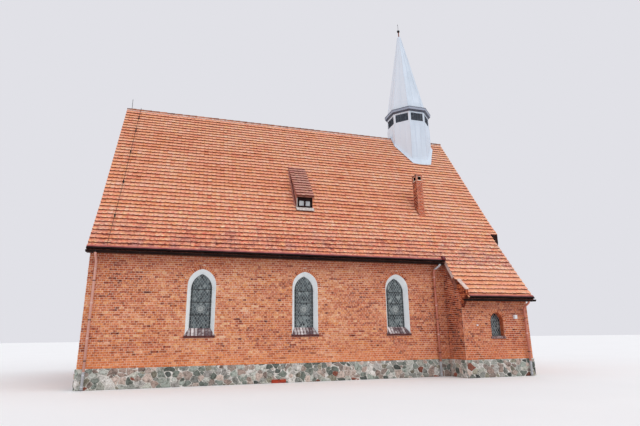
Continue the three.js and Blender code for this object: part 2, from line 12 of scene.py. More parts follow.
import bpy
import numpy as np
from mathutils import Matrix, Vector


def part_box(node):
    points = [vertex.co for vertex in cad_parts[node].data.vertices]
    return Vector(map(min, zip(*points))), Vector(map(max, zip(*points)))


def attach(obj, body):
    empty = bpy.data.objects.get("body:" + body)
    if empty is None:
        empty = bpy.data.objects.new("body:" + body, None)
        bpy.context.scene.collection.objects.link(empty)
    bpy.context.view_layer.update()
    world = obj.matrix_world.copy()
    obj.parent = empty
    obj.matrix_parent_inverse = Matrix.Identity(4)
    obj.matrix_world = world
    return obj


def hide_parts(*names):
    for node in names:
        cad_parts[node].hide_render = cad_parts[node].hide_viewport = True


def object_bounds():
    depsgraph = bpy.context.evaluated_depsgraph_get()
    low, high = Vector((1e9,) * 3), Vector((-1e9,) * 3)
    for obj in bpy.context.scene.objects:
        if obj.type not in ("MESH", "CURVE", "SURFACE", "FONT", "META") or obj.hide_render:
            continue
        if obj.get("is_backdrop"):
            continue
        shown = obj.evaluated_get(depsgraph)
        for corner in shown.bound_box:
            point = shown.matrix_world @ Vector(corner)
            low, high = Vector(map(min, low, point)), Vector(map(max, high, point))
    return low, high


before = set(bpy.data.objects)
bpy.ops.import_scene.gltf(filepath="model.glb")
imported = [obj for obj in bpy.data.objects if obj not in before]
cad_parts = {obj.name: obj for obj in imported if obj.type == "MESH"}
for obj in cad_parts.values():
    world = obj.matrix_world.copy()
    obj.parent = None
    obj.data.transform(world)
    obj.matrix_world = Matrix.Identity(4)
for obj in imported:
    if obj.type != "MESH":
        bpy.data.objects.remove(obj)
BUILT_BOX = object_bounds()
print("nodes:", len(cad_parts), "box:", [tuple(round(c, 3) for c in corner) for corner in BUILT_BOX])

# %% [markdown]
# ## The camera
# The picture was taken from off the west end of the long wall, looking up. Such a camera could be set
# by eye, but its place was worked out from edges of known size instead: ridge, eaves, verges and
# plinth. Its three axes are written out as arrays, so the roll is plain to see.

# %% Camera
EYE = (-5.123, -22.092, 1.571)
YAW = math.radians(16.375)
PITCH = math.radians(15.233)
ROLL = math.radians(-0.718)
FOCAL_PIXELS = 455.5
PICTURE_WIDTH = 640
SENSOR_MM = 36.0


def camera_axes(yaw, pitch, roll):
    """Forward leans up by pitch and turns right of +Y by yaw. Right and up then turn by roll."""
    forward = np.array([np.sin(yaw) * np.cos(pitch), np.cos(yaw) * np.cos(pitch), np.sin(pitch)])
    level = np.array([np.cos(yaw), -np.sin(yaw), 0.0])
    rise = np.cross(level, forward)
    right = np.cos(roll) * level + np.sin(roll) * rise
    up = np.cos(roll) * rise - np.sin(roll) * level
    return right, up, forward


def add_camera():
    """A camera whose local axes are right, up and the reverse of forward."""
    right, up, forward = camera_axes(YAW, PITCH, ROLL)
    data = bpy.data.cameras.new("camera")
    data.sensor_width = SENSOR_MM
    data.lens = SENSOR_MM * FOCAL_PIXELS / PICTURE_WIDTH
    data.clip_end = 2000.0
    camera = bpy.data.objects.new("camera", data)
    camera.rotation_mode = "QUATERNION"
    camera.rotation_quaternion = Matrix(np.stack([right, up, -forward], 1).tolist()).to_quaternion()
    camera.location = EYE
    bpy.context.scene.collection.objects.link(camera)
    bpy.context.scene.camera = camera
    return camera


camera = add_camera()
print("lens:", round(camera.data.lens, 2), "mm")

# %% [markdown]
# ## Meshes from whole arrays
# Every new piece is a mesh whose points are worked out at once as a numpy array. Typing vertices by
# hand or adding them one by one would be slow for tens of thousands of bricks and tiles. The helpers
# here only turn arrays of points and faces into a mesh, and give each point a tone between 0 and 1,
# which the materials turn into a lighter or darker brick, tile or sheet.

# %% Mesh helpers
UP = np.array([0.0, 0.0, 1.0])
Part = namedtuple("Part", "points faces tone")


def mesh_of(name, part, smooth=False):
    """One mesh. part.faces is a list of (faces, corners) arrays, and part.tone has one value a point."""
    groups = [g for g in part.faces if len(g)]
    corners = np.concatenate([g.ravel() for g in groups]).astype(np.int32)
    sizes = np.concatenate([np.full(len(g), g.shape[1], np.int32) for g in groups])
    starts = np.concatenate([[0], np.cumsum(sizes)[:-1]]).astype(np.int32)
    mesh = bpy.data.meshes.new(name)
    mesh.vertices.add(len(part.points))
    mesh.vertices.foreach_set("co", part.points.astype(np.float32).ravel())
    mesh.loops.add(len(corners))
    mesh.loops.foreach_set("vertex_index", corners)
    mesh.polygons.add(len(sizes))
    mesh.polygons.foreach_set("loop_start", starts)
    mesh.polygons.foreach_set("use_smooth", np.full(len(sizes), smooth))
    tone = mesh.attributes.new("tone", "FLOAT", "POINT")
    tone.data.foreach_set("value", part.tone.astype(np.float32))
    mesh.update(calc_edges=True)
    return mesh


def gather(parts):
    """Joins parts into one: each part's face numbers move up by the number of points before it."""
    before = np.cumsum([0] + [len(p.points) for p in parts[:-1]])
    faces = {}
    for part, first in zip(parts, before):
        for group in part.faces:
            faces.setdefault(group.shape[1], []).append(group + first)
    joined = [np.concatenate(groups) for groups in faces.values()]
    return Part(np.concatenate([p.points for p in parts]), joined, np.concatenate([p.tone for p in parts]))


triangles_added = 0


def add_piece(name, parts, material, smooth=False, replaces=()):
    """A named object at the origin that rides on the church, with its material."""
    global triangles_added
    part = gather(parts if isinstance(parts, list) else [parts])
    piece = bpy.data.objects.new(name, mesh_of(name, part, smooth))
    piece.data.materials.append(material)
    bpy.context.scene.collection.objects.link(piece)
    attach(piece, "root")
    if replaces:
        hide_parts(*replaces)
    triangles = sum(len(g) * (g.shape[1] - 2) for g in part.faces)
    triangles_added += triangles
    print(f"{name}: {triangles} triangles")
    return piece


# %% [markdown]
# ## Planes to build on
# Walls and roof slopes are all flat, so one idea serves for both: a plane has an origin, a direction
# along it to the right as seen from outside, a direction that rises up it, and the direction out of
# it. A brick or a tile is then a few numbers along, up and out, wherever its wall or slope faces.

# %% Planes and blocks
Plane = namedtuple("Plane", "origin along rise out")


def plane(origin, along, rise=UP):
    """The plane through origin; out is the cross product of along and rise."""
    along = np.array(along, float)
    rise = np.array(rise, float)
    return Plane(np.array(origin, float), along, rise, np.cross(along, rise))


def place(on, u, v, d):
    """origin + u times along + v times rise + d times out, for whole arrays at once."""
    u, v, d = np.broadcast_arrays(u, v, d)
    return on.origin + u[..., None] * on.along + v[..., None] * on.rise + d[..., None] * on.out


BLOCK_SIDES = np.array([[4, 5, 6, 7], [0, 1, 5, 4], [1, 2, 6, 5], [2, 3, 7, 6], [3, 0, 4, 7]])
BLOCK_BACK = np.array([[3, 2, 1, 0]])


def repeated(faces, count, size):
    """The same faces for each of count shapes that have size points each."""
    return (faces[None] + size * np.arange(count)[:, None, None]).reshape(-1, faces.shape[1])


def boxes_between(far, near, tone, closed=True):
    """Boxes from two arrays of four corners each, (count, 4, 3), with one tone for each box. Open boxes
    have no face at the far end."""
    count = len(far)
    sides = np.concatenate([BLOCK_SIDES, BLOCK_BACK]) if closed else BLOCK_SIDES
    tones = np.repeat(np.broadcast_to(np.asarray(tone, float), count), 8)
    return Part(np.concatenate([far, near], 1).reshape(-1, 3), [repeated(sides, count, 8)], tones)


def blocks(on, corners, back, front, inset=0.0, tone=0.5, closed=True):
    """Blocks on a plane, one for each four (u, v) corners, anticlockwise. Each runs from depth back to
    depth front, and its front face is drawn in towards its middle by inset, so its edges look worn."""
    count = len(corners)
    middle = corners.mean(1, keepdims=True)
    near = corners - inset * np.sign(corners - middle)
    back = np.broadcast_to(np.asarray(back, float), count)[:, None]
    front = np.broadcast_to(np.asarray(front, float), count)[:, None]
    far_ring = place(on, corners[..., 0], corners[..., 1], back)
    near_ring = place(on, near[..., 0], near[..., 1], front)
    return boxes_between(far_ring, near_ring, tone, closed)


def rectangles(left, right, bottom, top):
    """Four (u, v) corners for each rectangle, anticlockwise from its lower left."""
    left, right, bottom, top = np.broadcast_arrays(*np.atleast_1d(left, right, bottom, top))
    corners = [(left, bottom), (right, bottom), (right, top), (left, top)]
    return np.stack([np.stack(c, -1) for c in corners], 1).astype(float)


def grid_faces(rows, columns, wrap=False):
    """Quads between neighbours of a (rows, columns) grid; wrap joins the last column to the first."""
    r = np.arange(rows - 1)[:, None]
    c = np.arange(columns if wrap else columns - 1)[None]
    n = (c + 1) % columns
    quads = [r * columns + c, r * columns + n, (r + 1) * columns + n, (r + 1) * columns + c]
    return np.stack(np.broadcast_arrays(*quads), -1).reshape(-1, 4)


def swept(rings, tone=0.5, turned_over=False):
    """A closed bar through rings of points (rings, corners, 3), capped at both ends. turned_over is for
    rings that run the other way round."""
    count, corners = rings.shape[:2]
    last = (count - 1) * corners
    caps = np.stack([np.arange(corners)[::-1], last + np.arange(corners)])
    faces = [grid_faces(count, corners, wrap=True), caps]
    if turned_over:
        faces = [group[:, ::-1] for group in faces]
    return Part(rings.reshape(-1, 3), faces, np.full(count * corners, tone))


def tube(path, radius, sides=16, tone=0.5):
    """A round bar along a path: at each point a circle in the plane across the path's direction, closed
    at both ends. radius is one number or one for each point."""
    path = np.asarray(path, float)
    heading = np.gradient(path, axis=0)
    heading /= np.linalg.norm(heading, axis=1, keepdims=True)
    seed = np.eye(3)[np.argmin(np.abs(heading).max(0))]
    side = np.cross(heading, seed)
    side /= np.linalg.norm(side, axis=1, keepdims=True)
    other = np.cross(heading, side)
    turn = np.linspace(0, 2 * np.pi, sides, endpoint=False)
    reach = np.broadcast_to(np.asarray(radius, float), len(path))[:, None, None]
    around = np.cos(turn)[None, :, None] * side[:, None] + np.sin(turn)[None, :, None] * other[:, None]
    return swept(path[:, None] + reach * around, tone)


# %% [markdown]
# ## Sizes read from the frame
# The frame already holds every main size, so it is asked for them rather than told again. Walls give
# their outer faces, and the roof slabs give the ridge, the kink where the slope eases, and the eaves.

# %% Main sizes
def low(node):
    return np.array(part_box(node)[0])


def high(node):
    return np.array(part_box(node)[1])


WEST, BACK = low("gable_west")[0], high("gable_west")[1]
EAST, ANNEX_FRONT = high("gable_east")[0], low("gable_east")[1]
FRONT = low("wall_front")[1]
ANNEX_WEST = low("annex_wall_west")[0]
PLINTH_TOP = high("plinth_front")[2]
PLINTH_OUT = 0.025

RIDGE_Z = high("roof_front_upper")[2]
KINK_Y, KINK_Z = low("roof_front_upper")[1], high("roof_front_lower")[2]
FOOT_DROP = 0.12
EAVES_Y, EAVES_Z = low("roof_front_lower")[1], low("roof_front_lower")[2] + FOOT_DROP
ANNEX_EAVES_Y, ANNEX_EAVES_Z = low("roof_annex")[1], low("roof_annex")[2] + FOOT_DROP
SLAB = 0.24
VERGE_WEST, VERGE_EAST = low("roof_front_upper")[0], high("roof_front_upper")[0]
LOWER_EAST = high("gutter_back")[0]
ANNEX_VERGE = low("roof_annex")[0]
VERGE_FOOT_Y = low("verge_bracket_front")[1]
TURRET_X = (low("turret_cornice")[0] + high("turret_cornice")[0]) / 2


def both_ends(node_name):
    return low(node_name), high(node_name)


def corners_of(node_name):
    return np.array([v.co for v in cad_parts[node_name].data.vertices])


def fall(y0, z0, y1, z1):
    """Metres of height for each metre across, between two points of a slope."""
    return (z1 - z0) / (y1 - y0)


UPPER_FALL = fall(KINK_Y, KINK_Z, 0, RIDGE_Z)
LOWER_FALL = fall(EAVES_Y, EAVES_Z, KINK_Y, KINK_Z)


def roof_z(y):
    """Height of the slabs' outer surface at distance y from the ridge line, the same on both sides."""
    lines = [ANNEX_EAVES_Y, KINK_Y, 0], [ANNEX_EAVES_Z, KINK_Z, RIDGE_Z]
    return np.interp(-np.abs(y), *lines)


def under(y, slope):
    """Height of a slab's underside over y, for the slope that passes through the kink."""
    return KINK_Z + (y - KINK_Y) * slope - SLAB * np.hypot(1, slope)


APEX_UNDER = RIDGE_Z - SLAB * np.hypot(1, UPPER_FALL)
KINK_UNDER = under(KINK_Y, UPPER_FALL)
print("ridge, kink, eaves, underside:", *np.round([RIDGE_Z, KINK_Z, EAVES_Z, KINK_UNDER], 3))

# %% [markdown]
# ## Finishes
# Each finish is built from nodes: noise at the size of the real grain, colours that run through a
# ramp, and a bump for what is too fine to model. An image could do the same, but noise in the
# object's own metres needs no unwrapping and stays sharp at any distance. The first helper adds one
# node and either links or sets its inputs, which keeps every recipe below to a few lines.

# %% Node helpers
def linear(red, green, blue):
    """A colour of 0 to 255 as linear light: ((c + 0.055) / 1.055) ^ 2.4, or c / 12.92 when dark."""
    c = np.array([red, green, blue]) / 255.0
    return (*np.where(c > 0.04045, ((c + 0.055) / 1.055) ** 2.4, c / 12.92).tolist(), 1.0)


def node(tree, kind, inputs=None, **settings):
    """Adds a node, sets its properties, and links the inputs given as sockets and sets the others."""
    made = tree.nodes.new(kind)
    for name, value in settings.items():
        setattr(made, name, value)
    for name, value in (inputs or {}).items():
        if isinstance(value, bpy.types.NodeSocket):
            tree.links.new(value, made.inputs[name])
        else:
            made.inputs[name].default_value = value
    return made


def new_finish(name, roughness, metallic=0.0, specular=0.5):
    """A material with its node tree and its shader, whose constant numbers are set on the shader itself."""
    material = bpy.data.materials.new(name)
    material.use_nodes = True
    tree = material.node_tree
    shader = tree.nodes["Principled BSDF"]
    shader.inputs["Roughness"].default_value = roughness
    shader.inputs["Metallic"].default_value = metallic
    shader.inputs["Specular IOR Level"].default_value = specular
    return material, tree, shader


def ramp(tree, factor, *stops):
    """A colour ramp from stops, each a place and the red, green and blue of its colour."""
    made = node(tree, "ShaderNodeValToRGB", {"Fac": factor})
    elements = made.color_ramp.elements
    while len(elements) < len(stops):
        elements.new(0.5)
    for element, (at, *colour) in zip(elements, stops):
        element.position = at
        element.color = linear(*colour)
    return made.outputs["Color"]


def grain(tree, scale, detail=4.0, stretch=(1, 1, 1), roughness=0.55):
    """Noise between 0 and 1 in the object's own metres; stretch makes streaks."""
    at = node(tree, "ShaderNodeTexCoord").outputs["Object"]
    at = node(tree, "ShaderNodeMapping", {"Vector": at, "Scale": stretch}).outputs["Vector"]
    inputs = {"Vector": at, "Scale": scale, "Detail": detail, "Roughness": roughness}
    return node(tree, "ShaderNodeTexNoise", inputs).outputs["Fac"]


def along(tree, axis):
    """The place along an axis, in the object's own metres."""
    at = node(tree, "ShaderNodeTexCoord").outputs["Object"]
    return node(tree, "ShaderNodeSeparateXYZ", {"Vector": at}).outputs[axis]


def spread(tree, value, start, end, out_start=0.0, out_end=1.0):
    """Maps a value's stretch from start to end onto out_start to out_end, and holds it there outside."""
    inputs = {"Value": value, "From Min": start, "From Max": end, "To Min": out_start, "To Max": out_end}
    return node(tree, "ShaderNodeMapRange", inputs).outputs["Result"]


def height(tree, start, end):
    """0 at the height start and 1 at the height end, and straight between them."""
    return spread(tree, along(tree, "Z"), start, end)


def times(tree, a, b, operation="MULTIPLY"):
    made = node(tree, "ShaderNodeMath", {0: a, 1: b}, operation=operation)
    return made.outputs["Value"]


def plus(tree, a, b):
    return times(tree, a, b, "ADD")


def blend(tree, factor, a, b, how="MIX"):
    """Mixes two colours by a factor, or multiplies or overlays the second on the first."""
    made = node(tree, "ShaderNodeMix", {0: factor, 6: a, 7: b}, data_type="RGBA", blend_type=how)
    return made.outputs[2]


def tinted(tree, colour, by, factor=1.0):
    return blend(tree, factor, colour, by, "MULTIPLY")


def tone_of(tree):
    return node(tree, "ShaderNodeAttribute", attribute_name="tone").outputs["Fac"]


def second_number(tree, factor):
    """One more number for each brick, from its tone: what is left after the point of tone times factor."""
    scaled = times(tree, tone_of(tree), factor)
    return node(tree, "ShaderNodeMath", {0: scaled}, operation="FRACT").outputs["Value"]


def facing(tree, axis):
    """How far the surface faces along an axis, from -1 to 1."""
    normal = node(tree, "ShaderNodeNewGeometry").outputs["Normal"]
    return node(tree, "ShaderNodeSeparateXYZ", {"Vector": normal}).outputs[axis]


def bump(tree, shader, value, distance, strength=0.6):
    """Leans the surface by the slope of a value, as if it stood out by distance metres."""
    inputs = {"Height": value, "Distance": distance, "Strength": strength}
    made = node(tree, "ShaderNodeBump", inputs)
    tree.links.new(made.outputs["Normal"], shader.inputs["Normal"])


def paint(tree, shader, colour):
    tree.links.new(colour, shader.inputs["Base Color"])


# %% Brick and mortar
DAMP_AND_SHADE_COURSES, SPLASHED_COURSES = (3.7, 4.5), (1.3, 0.7)
REDDER_EAST = (0.0, 7.0)


def brick_finish():
    """Fired clay: the tone picks a colour from dark clinker to salmon, patches and speckles vary it, each
    brick leans a little to yellow, pink or violet, and the whole east end is redder. On walls that face
    front or back the top courses under the gutter are darker and redder, partly damp brick and partly
    painted shade of the eaves, and the lowest courses, which splashes keep clean, are a bright orange."""
    material, tree, shader = new_finish("fired_brick", 0.88, specular=0.25)
    patch = spread(tree, grain(tree, 0.7, 3), 0.35, 0.65, -0.1, 0.1)
    fleck = spread(tree, grain(tree, 15, 3), 0.3, 0.7, -0.28, 0.28)
    tone = plus(tree, tone_of(tree), plus(tree, patch, fleck))
    clay = ramp(
        tree, tone,
        (0.0, 104, 54, 46), (0.2, 158, 84, 60), (0.4, 210, 124, 84),
        (0.6, 232, 154, 106), (0.8, 246, 184, 138), (1.0, 252, 214, 178),
    )
    hue = ramp(
        tree, second_number(tree, 43.0),
        (0.0, 255, 238, 206), (0.3, 255, 255, 255), (0.55, 255, 236, 236),
        (0.8, 236, 214, 222), (1.0, 255, 246, 226),
    )
    clay = tinted(tree, clay, hue)
    speckle = ramp(tree, grain(tree, 34, 5), (0.3, 212, 204, 200), (0.7, 255, 255, 255))
    clay = tinted(tree, clay, speckle)
    # Painted shade, partly damp: the top courses of walls facing front or back darken and redden under the
    # eaves.
    out = facing(tree, "Y")
    damp_and_shade = times(tree, height(tree, *DAMP_AND_SHADE_COURSES), spread(tree, times(tree, out, out), 0.2, 0.8, 0.0, 0.55))
    clay = blend(tree, damp_and_shade, clay, linear(190, 86, 58))
    brightening = times(tree, height(tree, *SPLASHED_COURSES), 0.4)
    clay = blend(tree, brightening, clay, linear(240, 146, 88))
    east = spread(tree, along(tree, "X"), *REDDER_EAST, 0.0, 0.5)
    clay = tinted(tree, clay, linear(230, 184, 174), east)
    paint(tree, shader, clay)
    bump(tree, shader, grain(tree, 90, 5), 0.004)
    return material


def mortar_finish():
    """Lime mortar: pale pinkish sand, deeper in patches, with a sandy bump."""
    material, tree, shader = new_finish("lime_mortar", 0.95, specular=0.2)
    colour = ramp(tree, grain(tree, 1.3, 6), (0.3, 222, 188, 166), (0.7, 242, 218, 198))
    paint(tree, shader, colour)
    bump(tree, shader, grain(tree, 140, 4), 0.003)
    return material


BRICK = brick_finish()
MORTAR = mortar_finish()

# %% [markdown]
# Clay tiles weather from the eaves up: rain that runs down the roof keeps the lowest rows damp, and
# lichen settles there in purple-grey crusts. The finish mixes that crust in by noise, more of it the
# lower the tile lies, over a salmon colour that each tile's own tone makes lighter or darker. What
# faces down, the tail of each tile, is painted nearly black, as painted shade under the tails.

# %% Roof tile and stone finishes
PALER_EAST, PALER_TOP = (3.0, 7.5), (8.5, 12.0)
CRUSTED_BELOW, CLEAN_BELOW = (8.2, 4.5), (3.9, 4.6)


def tile_finish(name, least_crust):
    """Salmon clay by tone, paler at the east end and the top, with soot in fine grain. A crust and spots
    of lichen lie over it, most of them at the foot of the nave's roof, and the annex has cleaner tiles.
    least_crust is how much crust there is anywhere."""
    material, tree, shader = new_finish(name, 0.82, specular=0.3)
    tone = plus(tree, tone_of(tree), spread(tree, grain(tree, 0.5, 3), 0.35, 0.65, -0.05, 0.05))
    tone = plus(tree, tone, spread(tree, along(tree, "X"), *PALER_EAST, 0.0, 0.07))
    tone = plus(tree, tone, spread(tree, along(tree, "Z"), *PALER_TOP, 0.0, 0.05))
    clay = ramp(
        tree, tone,
        (0.0, 126, 60, 46), (0.2, 204, 116, 84), (0.4, 250, 168, 130),
        (0.6, 255, 194, 158), (0.8, 255, 210, 184), (1.0, 255, 228, 210),
    )
    hue = ramp(
        tree, grain(tree, 4.5, 2),
        (0.35, 255, 240, 244), (0.5, 255, 255, 255), (0.65, 255, 248, 226),
    )
    clay = tinted(tree, clay, hue)
    dust = ramp(tree, grain(tree, 16, 6), (0.3, 224, 214, 210), (0.7, 255, 255, 255))
    clay = tinted(tree, clay, dust)
    nave_foot = times(tree, height(tree, *CRUSTED_BELOW), height(tree, *CLEAN_BELOW))
    low_down = spread(tree, nave_foot, 0.0, 1.0, 0.14, 0.54)
    crust = plus(tree, plus(tree, grain(tree, 2.6, 9, roughness=0.7), low_down), -0.98)
    crust = spread(tree, crust, -0.06, 0.22, least_crust, 0.7)
    colour = blend(tree, crust, clay, linear(150, 116, 122))
    spots = ramp(
        tree, grain(tree, 12, 3, roughness=0.6),
        (0.34, 96, 70, 80), (0.44, 184, 182, 184), (0.56, 192, 190, 190), (0.66, 244, 236, 238),
    )
    spotted = spread(tree, nave_foot, 0.0, 1.0, 0.18, 1.0)
    colour = blend(tree, spotted, colour, spots, "OVERLAY")
    # Painted shade: what faces down, the tail of each tile, is painted nearly black.
    tail_shade = ramp(tree, grain(tree, 5, 5), (0.3, 84, 34, 30), (0.7, 122, 52, 42))
    colour = blend(tree, spread(tree, facing(tree, "Z"), -0.15, -0.4), colour, tail_shade)
    paint(tree, shader, colour)
    bump(tree, shader, grain(tree, 60, 6), 0.003)
    return material


def stone_finish():
    """Fieldstone: each stone has a colour of its own, mottled and speckled like granite, and pale mortar
    fills the joints, where the attribute joint is near 0. Here and there it has fallen out."""
    material, tree, shader = new_finish("fieldstone", 0.86, specular=0.35)
    own = node(tree, "ShaderNodeAttribute", attribute_name="stone").outputs["Color"]
    speckle = ramp(tree, grain(tree, 55, 6, roughness=0.75), (0.32, 160, 158, 156), (0.66, 255, 255, 255))
    mottle = ramp(
        tree, grain(tree, 11, 5, roughness=0.7),
        (0.32, 138, 136, 132), (0.5, 236, 234, 230), (0.66, 255, 255, 255),
    )
    stone = tinted(tree, tinted(tree, own, speckle), mottle)
    edge = node(tree, "ShaderNodeAttribute", attribute_name="joint").outputs["Fac"]
    mortar = ramp(tree, grain(tree, 9, 5), (0.36, 96, 96, 90), (0.44, 204, 200, 192), (0.7, 240, 238, 232))
    colour = blend(tree, spread(tree, edge, 0.18, 0.3), mortar, stone)
    paint(tree, shader, colour)
    bump(tree, shader, grain(tree, 38, 6), 0.008, 0.7)
    return material


TILE = tile_finish("clay_tile", 0.0)
OLD_TILE = tile_finish("old_clay_tile", 0.5)
FIELDSTONE = stone_finish()

# %% Plain finishes made from two colours and a grain
def plain_finish(
    name, dark, light, scale, roughness, metallic=0.0, specular=0.5, stretch=(1, 1, 1), depth=0.002, tone=0.0,
):
    """A surface whose noise runs between a dark and a light colour; tone says how much each part's own
    tone adds to the noise, and depth how far the grain stands out."""
    material, tree, shader = new_finish(name, roughness, metallic, specular)
    value = grain(tree, scale, 6, stretch)
    if tone:
        own = spread(tree, tone_of(tree), 0.0, 1.0, -tone, tone)
        value = plus(tree, value, own)
    paint(tree, shader, ramp(tree, value, (0.3, *dark), (0.7, *light)))
    bump(tree, shader, grain(tree, scale * 9, 5, stretch), depth, 0.5)
    return material


PLASTER = plain_finish("white_plaster", (238, 245, 247), (251, 255, 255), 3, 0.9, depth=0.003)
TRIM = plain_finish("grey_trim", (74, 80, 94), (152, 160, 176), 4, 0.5, 0.1, tone=0.5)
# Dark timber, also used as painted shade: the deep lintel over the dormer's panes and the feet of the verge are
# dark as shade under the roof.
DARK_TIMBER_AND_SHADE = plain_finish(
    "dark_timber", (28, 12, 10), (60, 36, 30), 5, 0.8, specular=0.15, stretch=(1, 1, 4), tone=0.2,
)
LOUVRE = plain_finish("louvre_grey", (70, 78, 88), (112, 120, 132), 6, 0.6, 0.2, tone=0.3)
LEAD = plain_finish("lead", (138, 144, 146), (184, 190, 190), 14, 0.5, 0.3)
IRON = plain_finish("black_iron", (22, 22, 23), (46, 44, 43), 18, 0.55, 0.6)
GUTTER = plain_finish("gutter_paint", (16, 6, 5), (38, 20, 16), 5, 0.7, specular=0.12, stretch=(0.5, 1, 1))
OAK = plain_finish(
    "oak_boards", (58, 34, 22), (104, 66, 42), 7, 0.6, stretch=(6, 6, 0.5), tone=0.25, depth=0.003,
)
CONCRETE = plain_finish("concrete", (146, 142, 134), (176, 172, 162), 4, 0.92, specular=0.25, depth=0.004)
# Dark mortar of the sills, dark also as painted shadow under their noses.
SILL_JOINT_AND_SHADE = plain_finish("sill_joints_and_shade", (70, 40, 40), (104, 62, 58), 9, 0.9, specular=0.25, depth=0.004)
EAVES_SHEET = plain_finish(
    "eaves_sheet", (16, 6, 6), (40, 18, 18), 6, 0.7, specular=0.12, stretch=(0.5, 1, 1),
)
EAVES_RIM = plain_finish("eaves_rim", (134, 50, 54), (186, 104, 98), 6, 0.6, stretch=(0.5, 1, 1))
EAVES_END = plain_finish("eaves_end", (70, 14, 22), (122, 34, 42), 6, 0.6)
RIDGE_CLAY = plain_finish(
    "ridge_clay", (104, 62, 48), (182, 116, 88), 3, 0.85, specular=0.25, tone=0.3, depth=0.004,
)
PALE_MORTAR = plain_finish(
    "pale_mortar", (196, 164, 152), (238, 218, 208), 8, 0.95, specular=0.2, depth=0.004,
)
PINK_MORTAR = plain_finish("pink_mortar", (160, 94, 82), (206, 146, 130), 12, 0.95, specular=0.2, depth=0.004)
RED_BRICK = plain_finish("red_brick", (140, 48, 34), (196, 84, 58), 9, 0.9, specular=0.2, depth=0.004)
RUST = plain_finish("rusty_iron", (112, 56, 44), (150, 84, 66), 20, 0.8, 0.1)
PALE_PANE = plain_finish("pale_pane", (168, 172, 174), (206, 208, 208), 4, 0.25)
OLD_WHITE = plain_finish("old_white_paint", (176, 164, 158), (228, 222, 216), 12, 0.8, specular=0.3)
WHITE = plain_finish("white_enamel", (226, 228, 230), (244, 245, 246), 6, 0.4)


def sheet_finish():
    """Pale zinc sheet: each sheet's own tone and long streaks vary it a little, and the faces turned
    west, away from the sun, are painted paler, as painted light that evens out their shade."""
    material, tree, shader = new_finish("turret_sheet", 0.6, specular=0.4)
    own = spread(tree, tone_of(tree), 0.0, 1.0, -0.08, 0.08)
    value = plus(tree, grain(tree, 1.2, 6, (3, 3, 0.4)), own)
    colour = ramp(tree, value, (0.3, 198, 210, 222), (0.7, 214, 225, 237))
    # Painted light: faces turned west, away from the sun, are painted paler to even out their shade.
    brightening = spread(tree, facing(tree, "X"), -0.2, -0.9, 0.0, 0.8)
    paint(tree, shader, blend(tree, brightening, colour, linear(236, 240, 246)))
    bump(tree, shader, grain(tree, 10, 5, (3, 3, 0.4)), 0.002, 0.4)
    return material


def sill_finish():
    """Weathered headers: pale grey on top, and dark red where the nose faces down, as painted shade under it."""
    material, tree, shader = new_finish("weathered_sill", 0.85, specular=0.25)
    own = spread(tree, tone_of(tree), 0.0, 1.0, -0.25, 0.25)
    value = plus(tree, grain(tree, 9, 6), own)
    colour = ramp(tree, value, (0.3, 104, 86, 90), (0.7, 232, 222, 220))
    # Painted shade: where the sill's nose faces down it is dark red.
    nose = ramp(tree, grain(tree, 7, 4), (0.3, 92, 36, 36), (0.7, 130, 58, 52))
    paint(tree, shader, blend(tree, spread(tree, facing(tree, "Z"), 0.0, -0.15), colour, nose))
    bump(tree, shader, grain(tree, 60, 5), 0.004)
    return material


def glass_finish():
    """Leaded glass seen from outside: nearly black, blue-green or grey by each pane's tone, and glossy."""
    material, tree, shader = new_finish("leaded_glass", 0.12, specular=0.6)
    tone = plus(tree, tone_of(tree), spread(tree, grain(tree, 5, 2), 0.3, 0.7, -0.15, 0.15))
    colour = ramp(tree, tone, (0.0, 30, 38, 40), (0.5, 82, 93, 95), (1.0, 152, 162, 160))
    paint(tree, shader, colour)
    bump(tree, shader, grain(tree, 12, 2), 0.004, 0.35)
    return material


def pipe_finish(bare_neck):
    """Downpipe paint: faded brick red, lighter at the couplings, with bare zinc for the foot, and on the
    newest pipe for the neck under the nave's gutter too."""
    material, tree, shader = new_finish("pipe_paint_bare_neck" if bare_neck else "pipe_paint", 0.45, 0.1)
    red = ramp(tree, grain(tree, 7, 5, (1, 1, 0.3)), (0.3, 186, 108, 90), (0.7, 206, 132, 112))
    red = blend(tree, spread(tree, tone_of(tree), 0.6, 0.9, 0.0, 0.5), red, linear(240, 214, 200))
    zinc = linear(196, 198, 202)
    colour = blend(tree, spread(tree, height(tree, 0, 1), 0.57, 0.58), zinc, red)
    if bare_neck:
        colour = blend(tree, spread(tree, height(tree, 0, 5), 0.846, 0.85), colour, zinc)
    paint(tree, shader, colour)
    bump(tree, shader, grain(tree, 40, 4), 0.001, 0.4)
    return material


SHEET = sheet_finish()
SILL_CLAY = sill_finish()
GLASS = glass_finish()
PIPE = pipe_finish(False)
NECKED_PIPE = pipe_finish(True)
print("finishes:", len(bpy.data.materials))


def finish_node(material, *names):
    """Gives built nodes a finish: only their material changes."""
    for name in names:
        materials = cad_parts[name].data.materials
        materials.clear()
        materials.append(material)


# %% [markdown]
# ## Openings
# A window here is a pointed arch: two arcs that spring from the jambs and meet over the middle. Each
# arc's centre lies on the far side, and its radius follows from the half width a and the rise r of
# the arch as (a squared + r squared) / 2a. Bricks, plaster, panes and door boards all use the same
# arch, so it is worked out once, as a half width at any height.

# %% Pointed arch
ARCH_RISE, LIGHT_RISE = 0.58, 0.72
TALL_LIGHT = 1.5
Opening = namedtuple("Opening", "node on middle width sill apex light light_sill light_apex")


def arch_circle(width, apex, steep=ARCH_RISE):
    """Half width a, spring height, and radius (a^2 + r^2) / 2a of the arcs of an arch of rise r, which is
    the width times steep."""
    half = width / 2
    rise = width * steep
    return half, apex - rise, (half * half + rise * rise) / (2 * half)


